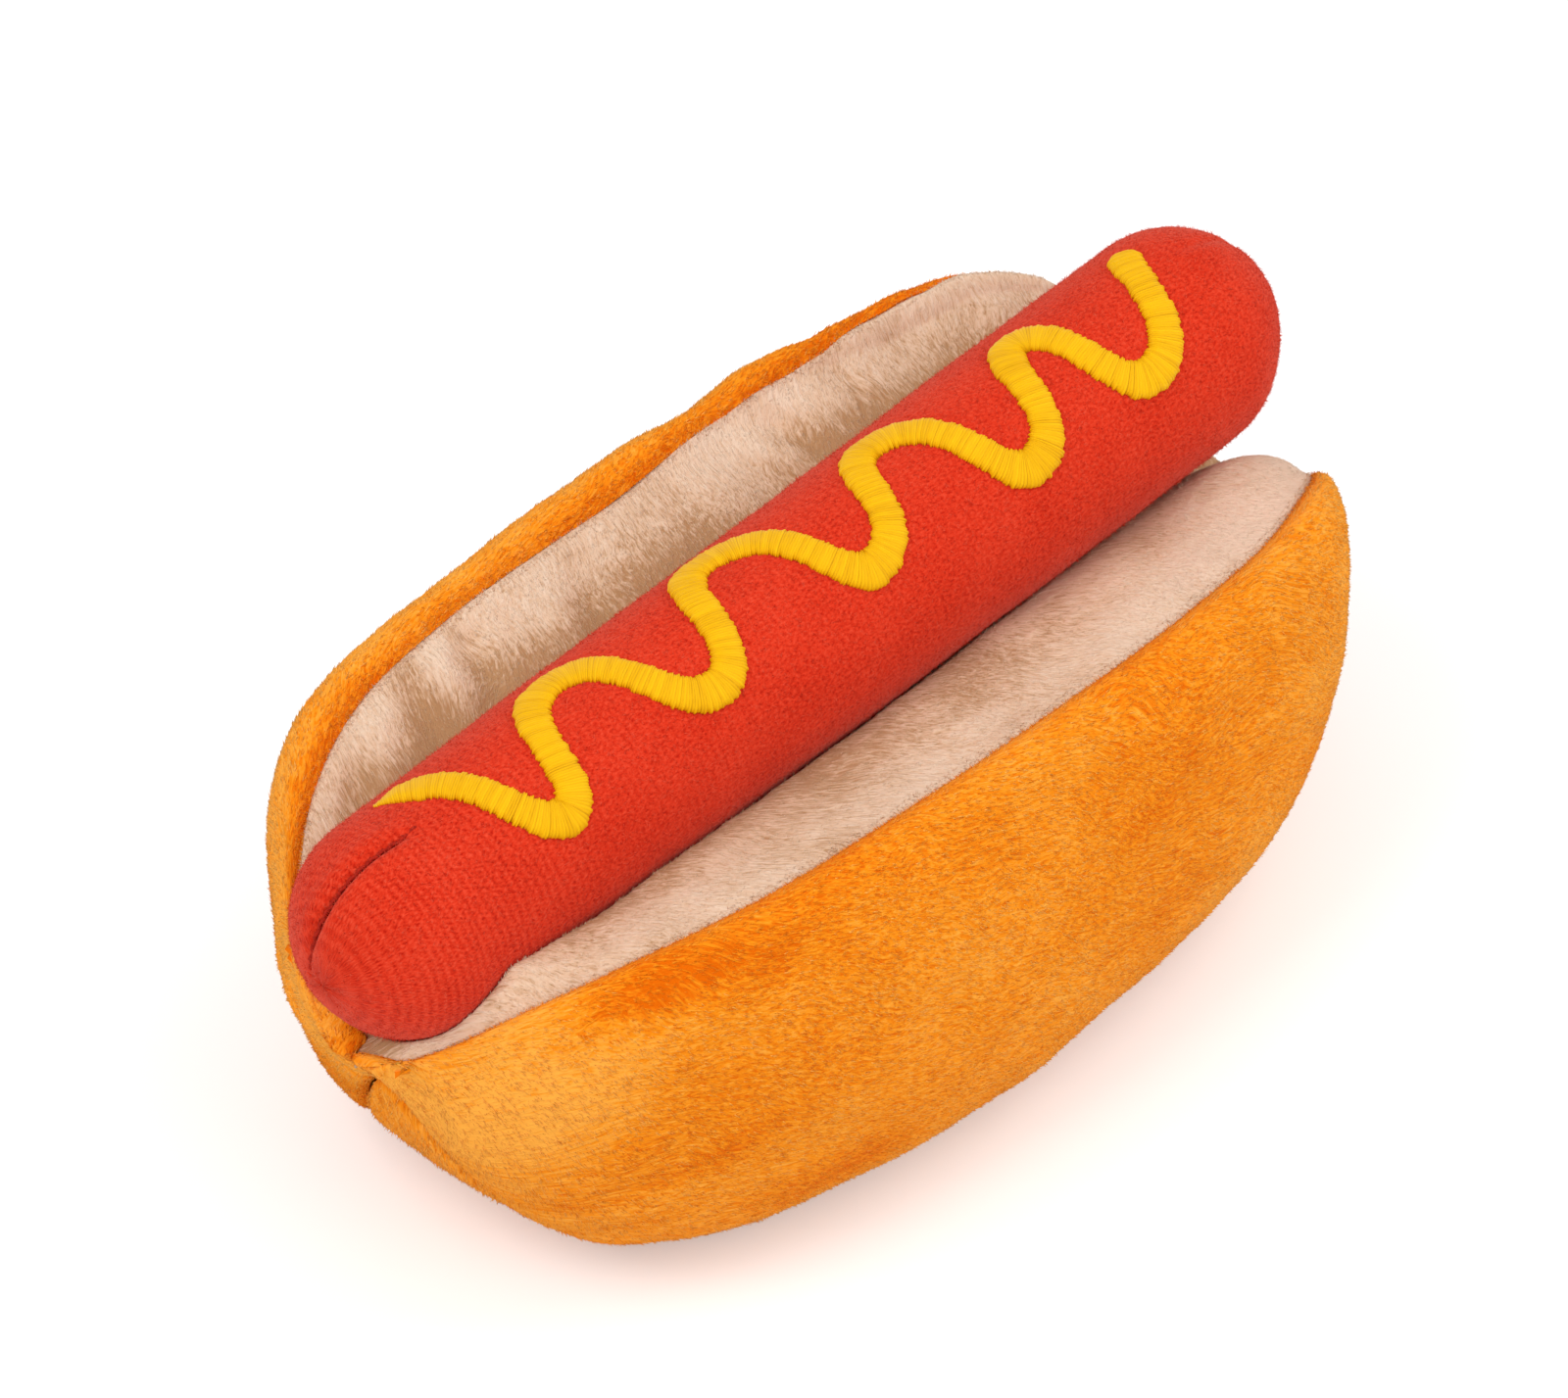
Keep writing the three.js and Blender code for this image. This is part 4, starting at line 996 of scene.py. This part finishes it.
def base_piece():
    """Base panel, sagging onto the floor, flat where it rests, with its edges rolled into the seams."""
    a, v = np.meshgrid(stations(BASE_COLS + 1), np.linspace(-1, 1, BASE_ROWS + 1))
    line = inset(base_line, a, 0.95)
    flat = base_surface(a, v * line[..., 1] / base_line(a)[..., 1])
    x, y = flat[..., 0], flat[..., 1]
    normal = facing(flat)
    across = arcs(flat, 0)
    edge = np.minimum(across, across[-1:] - across)
    rise = plush(x, y, BASE_SEED) + gathers(x, edge, BASE_SEED + 4, 6.0, 8.0, 0.5)
    rise = edged(rise, edge, 8, 0.5, 0.9, 0.25)
    outer = flat + normal * (rise - 0.8 * at_edge(edge, 2.2))[..., None]
    outer[..., 2] = np.maximum(outer[..., 2], 0.02 * (1 + lumps(x / 2, y / 2, BASE_SEED + 8)))
    cut = slice(None, None, BASE_INNER_STEP)
    piece = closed_sheet("base_cloth", outer, flat[cut] - normal[cut] * CLOTH)
    # Tone: random patches, the whole base painted lighter as painted light on a panel that faces the floor,
    # and painted shade within about a mm of its seams
    tone_and_painted_light = 0.4 * lumps(x / 20, y / 16, BASE_SEED + 6) + 0.45 - 0.3 * np.exp(-edge / 1.2)
    napped(piece, nap_places(x, y, BASE_NAP_TURN, BASE_SEED), tone_and_painted_light, ORANGE, "orange_pile")
    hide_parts("bun_base")
    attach(piece, "bun")
    clear = np.clip((outer[..., 2] - BARE_HEIGHT) / (FULL_HEIGHT - BARE_HEIGHT), 0, 1)
    sway = BASE_NAP_TURN + 26 * lumps(x / 17, y / 14, BASE_SEED + 11)
    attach(pile("base_pile", outer, normal, 1, sway, tone_and_painted_light, 1.7 * clear, BASE_LOCKS, ORANGE_PILE,
                 BASE_SEED), "bun")


for half, word, side in HALVES:
    crust_piece(word, side)
    crumb_piece(word, side)
base_piece()


# Sausage

SKIN_ROUND = 119.4  # mm round the skin, in which its fields and the mustard line's repeat
RIBS = 104  # of the knit, round the sausage
# Darts over the ends: the end, where the groove starts along the sausage, its depth, and how much
# it strays to the front for each mm past the straight part
DART_STRAY = 0.185
DARTS = ((-1, SAUSAGE_CORE - 3.5, 1.0, DART_STRAY), (1, SAUSAGE_CORE + 1.5, 0.3, 0))
FUZZ_DENSITY = 2.8
BARE_ANGLE, BARE_EASE = 3.02, 0.4  # from the top: past it, over the tacks, the fuzz dies out


def on_sausage(x, angle, radius):
    """World places from a distance along the sausage, an angle from its top toward the front
    and a distance from its axis."""
    x, angle, radius = np.broadcast_arrays(x, angle, radius)
    place = SAUSAGE_CENTRE + x[..., None] * SAUSAGE_ALONG + (radius * np.cos(angle))[..., None] * SAUSAGE_UP
    place[..., 1] -= radius * np.sin(angle)
    return place


def skin_swell(x, arc):
    """Uneven filling under the skin, in mm."""
    broad = lumps(x / 26 + 9, arc / (SKIN_ROUND / 4) + 8, 201, 4)
    return 0.22 * broad + 0.08 * lumps(x / 9, arc / (SKIN_ROUND / 12), 202, 12)


def capsule(radius, hole, steps, middle_steps):
    """Profile of a round-ended bar: (distance along, radius) from the left hole to the right hole."""
    turn = np.linspace(math.asin(hole / radius), math.pi / 2, steps + 1)
    x = SAUSAGE_CORE + radius * np.cos(turn)
    r = radius * np.sin(turn)
    run = np.linspace(-SAUSAGE_CORE, SAUSAGE_CORE, middle_steps + 1)[1:-1]
    return np.concatenate([-x, run, x[::-1]]), np.concatenate([r, np.full(len(run), radius), r[::-1]])


def skin_push(x, turn, wrap, radius):
    """How far the skin stands off the plain capsule, in mm: swollen by its filling and ribbed, with a
    groove between two soft banks along each dart, a flat on the front of the right end, and small
    puckers round the gathered holes."""
    arc = SAUSAGE_RADIUS * turn
    rib_width = 2 * np.pi * SAUSAGE_RADIUS / RIBS
    push = skin_swell(x, arc) + 0.06 * lumps(x / 1.15, arc / rib_width, 203, RIBS)
    for end, start, depth, stray in DARTS:
        past = end * x - SAUSAGE_CORE
        off = np.abs(radius * np.sin(wrap) + stray * np.maximum(past, 0))
        off += np.where(np.abs(wrap) > np.pi / 2, 99, 0)
        held = depth * eased((end * x - start) / 5) * (1 - 0.75 * eased((past - 16) / 3))
        push -= held * (1.25 * ridge(off, 0, 0.85) - 0.4 * ridge(off, 3, 1.8))
        if end > 0:
            push -= ridge(past, 11, 8) * ridge(wrap, 1.7, 0.7)
        push += ridge(radius, 0, 4.5) * (past > 0) * (0.08 * np.cos(7 * turn + end) - 0.12)
    return push


def sausage_skin():
    """Knit tube with round ends, outside and inside, and its fuzz."""
    x, r = capsule(SAUSAGE_RADIUS, 0.25, 56, 316)
    turn = np.linspace(0, 2 * np.pi, SKIN_SIDES, endpoint=False)
    X, T = np.meshgrid(x, turn, indexing="ij")
    R = np.repeat(r[:, None], SKIN_SIDES, 1)
    wrap = (T + np.pi) % (2 * np.pi) - np.pi
    push = skin_push(X, T, wrap, R)
    lean = np.where(np.abs(X) > SAUSAGE_CORE, (np.abs(X) - SAUSAGE_CORE) / SAUSAGE_RADIUS, 0)
    outer = on_sausage(X + push * lean * np.sign(X), T, R + push * np.sqrt(1 - np.minimum(lean, 1) ** 2))
    xi, ri = capsule(SAUSAGE_RADIUS - SKIN, HOLE, 10, 24)
    inner = on_sausage(xi[::-1, None], turn[None, :], ri[::-1, None])
    points = np.concatenate([outer.reshape(-1, 3), inner.reshape(-1, 3)])
    faces = ring_faces(len(x) + len(xi), SKIN_SIDES, close=True).tolist()
    piece = mesh_piece("sausage_knit", points, faces, 80)
    mark(piece, "worn", (0.045 + 0.075 * eased((-45 - X) / 45)).ravel())
    knit = np.stack([X + np.sign(X) * lean * 3, SAUSAGE_RADIUS * wrap, 0 * X], -1)
    mark(piece, "knit", knit.reshape(-1, 3))
    dress(piece, RED, "red_knit")
    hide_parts("sausage_skin")
    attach(piece, "bun")
    ring = np.concatenate([outer, outer[:, :1]], 1)
    normal = facing(ring, SAUSAGE_CENTRE)
    bare = eased((BARE_ANGLE - np.abs(np.concatenate([wrap, wrap[:, :1]], 1))) / BARE_EASE)
    half_way = SKIN_SIDES // 2
    for word, cut, seed in (("front", slice(0, half_way + 1), 18), ("back", slice(half_way, None), 17)):
        fuzz(f"sausage_{word}_fuzz", ring[:, cut], normal[:, cut], FUZZ_DENSITY * bare[:, cut], seed)


def fuzz(name, grid, normal, density, seed):
    """Brushed-up ends of the knit's yarn: fine spikes 0.4 to 1 mm long that lean every way."""
    rng = np.random.default_rng(seed)
    i, j, f, g = pick(grid, density, rng)
    count = len(i)
    root, up = between(grid, i, j, f, g), unit(between(normal, i, j, f, g))
    aim = unit(rng.normal(0, 1, (count, 3)))
    aim = unit(aim - up * (aim * up).sum(1, keepdims=True) + up * rng.uniform(0.2, 0.9, (count, 1)))
    tip = root + aim * rng.uniform(0.4, 1.0, (count, 1))
    piece = spikes(name, root - 0.08 * up, tip, rng.uniform(0.045, 0.085, count), up)
    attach(shaded(piece, rng.normal(0.0, 0.5, count), RED_FUZZ), "bun")


sausage_skin()


# Mustard line: the places of its turns along the sausage and round it, as shares, and how far each
# limb between two turns bends forward, as a share of its run
TURNS = np.array([0, 0.122, 0.212, 0.3235, 0.414, 0.529, 0.624, 0.727, 0.812, 0.889, 1])
TURN_ARCS = np.array([-1.02, 0.92, -0.83, 0.78, -0.97, 0.76, -0.81, 0.97, -0.69, 0.96, -1.07])
LIMB_BENDS = np.array([0.1, -0.15, 0.01, -0.01, 0.14, 0.07, 0.12, 0.1, -0.03, 0.03])
LINE_START, LINE_END = 0.04, 9.79  # in turns
LINE_FIRST, LINE_RUN = -86.2, 176.6  # place of the first turn along the sausage, and run of them all
LINE_ARC, LINE_SWING = 3, 12  # arc from the top to the line's middle, and swing about it
CURL_BACK, CURL_TURNS = 2.9, 0.25  # arc by which the start curls back, and for how many turns
TURN_WIDENING = 1.1
HALF_WIDTH, CROWN = 3.0, 1.25
THREAD_WIDTH = 0.42
ROWS_PER_THREAD = 4
TOP_POINTS = 15  # across the line's top
UNDER_POINTS = [14, 10, 4, 0]  # those of them that its underside copies


def mustard_middle(n):
    """Middle of the line, n turns from its first: (distance along, arc from the top). Each limb eases
    by a half cosine from one turn's arc to the next, and runs evenly but for its bend and a widening
    of the turns."""
    limb = np.clip(np.floor(n).astype(int), 0, len(LIMB_BENDS) - 1)
    share = n - limb
    run = LINE_RUN * (TURNS[limb + 1] - TURNS[limb])
    x = LINE_FIRST + LINE_RUN * TURNS[limb] + run * (share + LIMB_BENDS[limb] * np.sin(np.pi * share))
    ease = (1 - np.cos(np.pi * share)) / 2
    arc = LINE_ARC + LINE_SWING * (TURN_ARCS[limb] * (1 - ease) + TURN_ARCS[limb + 1] * ease)
    arc -= CURL_BACK * np.maximum(0, 1 - n / CURL_TURNS) ** 2
    return x + TURN_WIDENING * np.sin(2 * np.pi * share), arc


def on_skin(x, arc, lift):
    """World places at a height over the swollen skin, from the distance along and the arc."""
    return on_sausage(x, arc / SAUSAGE_RADIUS, SAUSAGE_RADIUS + skin_swell(x, arc % SKIN_ROUND) + lift)


def mustard_line():
    """Satin-stitched band: a crowned section carried along the wave and cut into threads. Each
    thread has its own height, tone and reach to both sides, and sinks at its edges. Its tone carries
    a painted highlight on the thread's crown and painted shade in the gaps, along the band's edges and
    on its underside."""
    n = np.linspace(LINE_START, LINE_END, 6001)
    x, arc = mustard_middle(n)
    run = np.concatenate([[0], np.cumsum(np.hypot(np.diff(x), np.diff(arc)))])
    threads = int(round(run[-1] / THREAD_WIDTH))
    rows = ROWS_PER_THREAD * threads + 1
    place = np.linspace(0, run[-1], rows)
    n = np.interp(place, run, n)
    x, arc = mustard_middle(n)
    dx, da = np.gradient(x), np.gradient(arc)
    across = np.stack([-da, dx], -1) / np.hypot(dx, da)[:, None]
    to_end = np.clip((run[-1] - place) / 2.6, 0, 1)
    half = HALF_WIDTH * (0.1 + 0.9 * eased(place / 8) ** 0.7)
    half *= np.sqrt(np.maximum(1 - (1 - to_end) ** 2, 0.02)) * (1 + 0.07 * np.cos(2 * np.pi * n))

    index = np.minimum(np.arange(rows) // ROWS_PER_THREAD, threads - 1)
    phase = (np.arange(rows) % ROWS_PER_THREAD) / ROWS_PER_THREAD

    def chance(seed):
        return hashed(index, 0 * index, seed)

    bulge = np.sin(np.pi * phase)
    edge = half + 0.16 * bulge - 0.08
    reach_a, reach_b = (edge + 0.5 * (chance(seed) - 0.5) + 0.12 * lumps(place / 3, 0 * place, seed + 1)
                        for seed in (301, 303))
    gap = np.maximum(0, chance(305) - 0.8) * 5 * (phase == 0)
    crest = 0.06 * bulge - 0.06 + 0.05 * (chance(306) - 0.5) - 0.08 * gap

    def section(shares, scale, lift):
        """World places across the line: shares from -1 to 1 of its reach to both sides."""
        reach = shares * np.where(shares < 0, reach_a[:, None], reach_b[:, None]) * scale
        return on_skin(x[:, None] + across[:, :1] * reach, arc[:, None] + across[:, 1:] * reach, lift)

    shares = np.sin(np.linspace(-1, 1, TOP_POINTS) * np.pi / 2)[None, :]
    height = np.sqrt(np.maximum(1 - shares ** 4, 0))
    lift = 0.1 + height * (CROWN * np.minimum(1, half / 2.2)[:, None] + crest[:, None])
    rings = np.concatenate([section(shares, 1, lift), section(shares[:, UNDER_POINTS], 0.97, -0.25)], 1)
    count = rings.shape[1]
    piece = mesh_piece("mustard_satin", rings.reshape(-1, 3), capped_rings(rows, count), 180)
    # Tone: random for each thread, with a painted highlight on each thread's crown, and painted shade in
    # the gaps, along the band's edges and on its underside
    tone_and_painted_light = 0.4 + 0.35 * (chance(307) - 0.5) + 0.3 * bulge - 0.2 * gap
    tone_and_painted_light = np.repeat(tone_and_painted_light[:, None], count, 1)
    tone_and_painted_light[:, TOP_POINTS:] = 0.2
    tone_and_painted_light[:, [0, TOP_POINTS - 1]] -= 0.25
    strand = np.zeros((rows, count, 3))
    strand[..., 0] = place[:, None]
    strand[:, :TOP_POINTS, 1] = shares * reach_a[:, None]
    mark(piece, "tone_and_painted_light", tone_and_painted_light.ravel())
    mark(piece, "strand", strand.reshape(-1, 3))
    dress(piece, YELLOW, "yellow_thread")
    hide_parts("mustard_line")
    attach(piece, "bun")


mustard_line()


SHEET_RADIUS, SHEET_SIDES = 16.9, 24  # of the solid sheet, whose flats lie nearer to the axis
SHEET_HALF_LENGTH, SHEET_HALF_WIDTH = 85, 16.3
SHEET_THICKNESS = 0.35


def backing_sheet():
    """Thin sheet bent round inside the skin, under the mustard line, with faint ripples."""
    x = np.linspace(-SHEET_HALF_LENGTH, SHEET_HALF_LENGTH, 121)
    arc = np.linspace(LINE_ARC - SHEET_HALF_WIDTH, LINE_ARC + SHEET_HALF_WIDTH, 33)
    A, X = np.meshgrid(arc, x)
    radius = SHEET_RADIUS * math.cos(math.pi / SHEET_SIDES) - 0.1 + 0.12 * lumps(X / 6, A / 5, 401)
    outer, inner = (on_sausage(X, A / SAUSAGE_RADIUS, radius - depth) for depth in (0, SHEET_THICKNESS))
    piece = closed_sheet("embroidery_sheet", outer, inner)
    dress(piece, BACKING, "backing")
    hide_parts("embroidery_backing")
    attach(piece, "bun")


backing_sheet()


# Threads

THREAD_SIDES = 8
SEAM_THREAD, END_THREAD, DART_THREAD, TACK_THREAD = 0.42, 0.55, 0.34, 0.36  # radii
SEAM_SHARE = 0.965  # of the bun's length that the seams' threads cover


def stitched(path, normal, pitch, amplitude):
    """A sewn thread's path: it bobs along the normal by amplitude, once every pitch mm."""
    run = np.concatenate([[0], np.cumsum(np.linalg.norm(np.diff(path, axis=0), axis=1))])
    count = max(12, int(run[-1] / pitch * 8))
    at = np.linspace(0, run[-1], count + 1)
    smooth = np.stack([np.interp(at, run, path[:, k]) for k in range(3)], -1)
    lift = np.stack([np.interp(at, run, normal[:, k]) for k in range(3)], -1)
    return smooth + lift * (amplitude * np.sin(2 * np.pi * at / pitch))[:, None]


def thread(name, node, path, normal, radius, mat, slot, pitch=2.6, amplitude=0.25):
    """A seam's thread, bobbing through the cloth and bulging unevenly, in place of its node."""
    path = stitched(path, normal, pitch, amplitude)
    bulge = radius * (1 + 0.12 * np.sin(np.arange(len(path)) * 2.1))
    piece = tube(name, path, bulge, THREAD_SIDES)
    dress(piece, mat, slot)
    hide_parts(node)
    return piece


a = np.linspace(-1, 1, 301) * SEAM_SHARE
for half, word, side in HALVES:
    flip = np.array([1, side, 1])
    path = bun_surface(a, np.maximum(seam_shift(a, side), 0.6 - lip_line(a)[:, 1]) - 0.5, side)
    path[:, 2] -= 0.85
    normal = np.tile([0, 0, 1.0], (len(a), 1))
    piece = thread(f"{word}_lip_thread", f"{word}_lip_stitch", path * flip, normal, SEAM_THREAD,
                   ORANGE_THREAD, "orange_thread")
    opens(piece)
    path = inset(base_line, a, 0.9)
    normal = unit(BUN_MIDDLE - path)
    piece = thread(f"{word}_base_thread", f"{word}_base_stitch", (path + 0.9 * normal) * flip,
                   normal * flip, SEAM_THREAD, ORANGE_THREAD, "orange_thread")
    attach(piece, "bun")

# The upright seams at the ends: a straight run from the tuck down to the base seam's tip
END_TOP_OUT, END_LOW_OUT, END_DROP = 105.4, 99.0, 8.4
END_NORMAL = (0.79, -0.61)
for word, side, start in (("left", -1, -0.16), ("right", 1, 0.2)):
    share = np.linspace(start, 1.1, 24)[:, None]
    tuck = float(tuck_height(np.array(side)))
    top = np.array([side * END_TOP_OUT, 0, tuck])
    low = np.array([side * END_LOW_OUT, 0, tuck - END_DROP])
    out = np.array([side * END_NORMAL[0], 0, END_NORMAL[1]])
    path = top + (low - top) * share + 0.5 * out
    piece = thread(f"{word}_end_thread", f"{word}_end_stitch", path, np.tile(out, (24, 1)), END_THREAD,
                   ORANGE_THREAD, "orange_thread")
    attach(piece, "bun")

# The darts' threads: how far each starts before the sausage's round end, the angles it runs between,
# its depth under the skin and its stray
for word, side, straight, start, stop, depth, stray in (
        ("left", -1, 3.5, 0.0, 86, 0.72, DART_STRAY), ("right", 1, 0.0, 0.078, 94, 0.95, 0)):
    radius = SAUSAGE_RADIUS - depth
    turn = np.linspace(start, math.radians(stop), 60)
    x = SAUSAGE_CORE + radius * np.sin(turn)
    r = radius * np.cos(turn)
    if straight:
        x = np.concatenate([[SAUSAGE_CORE - straight], x])
        r = np.concatenate([[radius + 0.4], r])
    path = SAUSAGE_CENTRE + (side * x)[:, None] * SAUSAGE_ALONG + r[:, None] * SAUSAGE_UP
    path[:, 1] += stray * np.maximum(x - SAUSAGE_CORE, 0)
    normal = unit(path - (SAUSAGE_CENTRE + side * SAUSAGE_CORE * SAUSAGE_ALONG))
    piece = thread(f"{word}_dart_thread", f"{word}_dart_stitch", path, normal, DART_THREAD,
                   RED_THREAD, "red_thread", 2.2, 0.2)
    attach(piece, "bun")

x = np.linspace(-84, 0, 90)
path = on_sausage(x, np.pi, SAUSAGE_RADIUS + 0.55)
normal = np.tile(SAUSAGE_UP, (90, 1))
piece = thread("tack_thread", "tack_stitch_row", path, normal, TACK_THREAD, RED_THREAD, "red_thread",
               9.0, 0.35)
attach(piece, "bun")


# Filling: each lump of fibre is its solid, remeshed fine and tufted by smooth lumps

def filling(name, node, voxel, inwards):
    """A copy of a filling's solid as one fine closed skin, pulled in by inwards mm and tufted, and
    settled like the cloth over it."""
    obj = linked(name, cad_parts[node].data.copy())
    obj.data.materials.clear()
    work = bmesh.new()
    work.from_mesh(obj.data)
    bmesh.ops.remove_doubles(work, verts=work.verts, dist=1e-5)
    work.to_mesh(obj.data)
    work.free()
    remesh = obj.modifiers.new("skin", "REMESH")
    remesh.mode = "VOXEL"
    remesh.voxel_size = voxel * MM
    graph = bpy.context.evaluated_depsgraph_get()
    fine = bpy.data.meshes.new_from_object(obj.evaluated_get(graph))
    obj.modifiers.clear()
    obj.data = fine
    fine.name = name
    co, normal = np.zeros(len(fine.vertices) * 3), np.zeros(len(fine.vertices) * 3)
    fine.vertices.foreach_get("co", co)
    fine.vertices.foreach_get("normal", normal)
    co, normal = co.reshape(-1, 3) / MM, normal.reshape(-1, 3)
    x, y, z = co.T
    tuft = lumps(x / 5 + z / 9, y / 4 + z / 6, 501)
    tuft += 0.5 * lumps(x / 2.1 - z / 3, y / 2 + z / 2.6, 502)
    co -= normal * (inwards + 0.3 * (1 + tuft))[:, None]
    if node != "sausage_stuffing":
        a = np.clip(x / HALF_LENGTH, -1, 1)
        low, lip = base_line(a)[:, 2], lip_line(a)[:, 2]
        lower = np.where(y > 0, settled(a, np.abs(y), 1), settled(a, np.abs(y), -1))
        z -= np.maximum(lower, 0) * eased(2 * (z - low) / (lip - low))
    fine.vertices.foreach_set("co", (co * MM).ravel())
    fine.polygons.foreach_set("use_smooth", np.ones(len(fine.polygons), bool))
    dress(obj, FIBRE, "fibre")
    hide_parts(node)
    return obj


for half, word, side in HALVES:
    opens(filling(f"{word}_fibre", f"{word}_stuffing", 2.2, 1.6))
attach(filling("core_fibre", "core_stuffing", 1.8, 0.2), "bun")
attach(filling("sausage_fibre", "sausage_stuffing", 1.8, 0.3), "bun")
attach(filling("pad_fibre", "squeaker_pad", 1.4, 0.3), "squeaker_press")


# Squeaker. The outlines are corners, (radius, height) in mm.
BASE_CORNERS = [(4.3, 14), (16.4, 14), (18, 15.6), (18, 17), (4.3, 17)]
WALL_CORNERS = [(18, 17.3), (16.4, 24.8), (18, 32.3), (16.4, 32.3), (14.8, 24.8), (16.4, 17.3)]
TOP_CORNERS = [(0.05, 35.0), (16.4, 32.6), (18, 32.6), (18, 34.2), (16.4, 36.6), (0.05, 36.6)]


def rounded(corners, radius, steps=4):
    """An outline whose corners are cut round: quadratic curves from radius before to radius after."""
    out = []
    count = len(corners)
    points = [np.array(c, float) for c in corners]
    for k, p in enumerate(points):
        before, after = points[k - 1] - p, points[(k + 1) % count] - p
        cut = min(radius, 0.45 * np.linalg.norm(before), 0.45 * np.linalg.norm(after))
        start, end = p + unit(before) * cut, p + unit(after) * cut
        s = np.linspace(0, 1, steps + 1)[:, None]
        out += list(start * (1 - s) ** 2 + 2 * p * s * (1 - s) + end * s * s)
    return out


def bulb_part(name, profile, sides=72):
    """A part of the bulb: a closed ring profile turned about the upright axis."""
    turn = np.linspace(0, 2 * np.pi, sides, endpoint=False)
    r, z = np.array(profile).T
    points = np.stack([r[:, None] * np.cos(turn), r[:, None] * np.sin(turn), z[:, None] + 0 * turn], -1)
    faces = ring_faces(len(profile), sides, close=True).tolist()
    piece = mesh_piece(name, points.reshape(-1, 3), faces, 50)
    dress(piece, BULB, "squeaker_bulb")
    return piece


base = bulb_part("bulb_base", rounded(BASE_CORNERS, 0.5))
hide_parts("squeaker_base")
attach(base, "bun")
wall = bulb_part("bulb_wall", rounded(WALL_CORNERS, 0.9, 6))
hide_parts("squeaker_wall")
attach(wall, "bun")
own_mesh(wall)
top = bulb_part("bulb_top", rounded(TOP_CORNERS, 0.6))
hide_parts("squeaker_top")
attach(top, "squeaker_press")
for node in ("reed_holder", "reed"):
    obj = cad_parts[node]
    obj.data.materials.clear()
    obj.data.materials.append(INSERT)


# Floor and world: both look brighter to the camera than the light that they give
FLOOR_GREY, FLOOR_GLOW, FLOOR_HALF = 0.86, 0.25, 3
WORLD_LIGHT, WORLD_GLOW = 0.66, 0.34

paper = Look("floor_paper", Base_Color=(FLOOR_GREY, FLOOR_GREY, FLOOR_GREY, 1), Roughness=0.9,
             Specular_IOR_Level=0.1, Emission_Color=(1, 1, 1, 1))
paper.links.new(paper.times(paper.seen(), FLOOR_GLOW), paper.skin.inputs["Emission Strength"])
mesh = bpy.data.meshes.new("floor")
corners = [(x * FLOOR_HALF, y * FLOOR_HALF, 0) for x, y in ((-1, -1), (1, -1), (1, 1), (-1, 1))]
mesh.from_pydata(corners, [], [(0, 1, 2, 3)])
mesh.materials.append(paper.mat)
floor = linked("floor", mesh)
floor.location = (0, 0, -0.00005)
floor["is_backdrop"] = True

world = bpy.data.worlds.new("studio")
world.use_nodes = True
bpy.context.scene.world = world
sky = Graph(world.node_tree)
back = sky.nodes["Background"]
back.inputs["Color"].default_value = (1, 1, 1, 1)
sky.links.new(sky.added(sky.times(sky.seen(), WORLD_GLOW), WORLD_LIGHT), back.inputs["Strength"])

# Camera and lamps, fitted to the photograph
AIM = Vector((-0.0090, -0.0016, 0.0652))
BACK = Vector((-0.533, -0.518, 0.669)).normalized()
RIGHT = Vector((0.697, -0.7175, 0)).normalized()
UP = BACK.cross(RIGHT)
CAMERA_DISTANCE = 2.15
FOCAL_PIXELS, FRAME_PIXELS, SENSOR_WIDTH = 13507.5, 1600, 36


def lamp(name, along_right, along_camera, height, size, power):
    """A square soft lamp, aimed at the object, placed by steps to the right, toward the camera and up."""
    light = bpy.data.lights.new(name, "AREA")
    light.size = size
    light.energy = power
    toward = Vector((BACK.x, BACK.y, 0)).normalized()
    obj = linked(name, light)
    obj.location = AIM + RIGHT * along_right + toward * along_camera + Vector((0, 0, height))
    obj.rotation_mode = "QUATERNION"
    obj.rotation_quaternion = (AIM - obj.location).to_track_quat("-Z", "Y")


lamp("key", -0.9, 0.6, 1.4, 1.0, 12)
lamp("fill", 1.2, 1.0, 1.0, 1.2, 6)
lamp("front", -0.4, 1.5, 0.85, 1.2, 2.5)
lamp("back", 1.0, -0.2, 1.2, 1.0, 6.5)

camera = bpy.data.cameras.new("camera")
camera.sensor_width = SENSOR_WIDTH
camera.lens = FOCAL_PIXELS / FRAME_PIXELS * SENSOR_WIDTH
camera.clip_start, camera.clip_end = 0.05, 20
view = linked("camera", camera)
view.location = AIM + BACK * CAMERA_DISTANCE
view.rotation_mode = "QUATERNION"
view.rotation_quaternion = Matrix((RIGHT, UP, BACK)).transposed().to_quaternion()
bpy.context.scene.camera = view
bpy.context.scene.view_settings.view_transform = "Standard"

low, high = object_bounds()
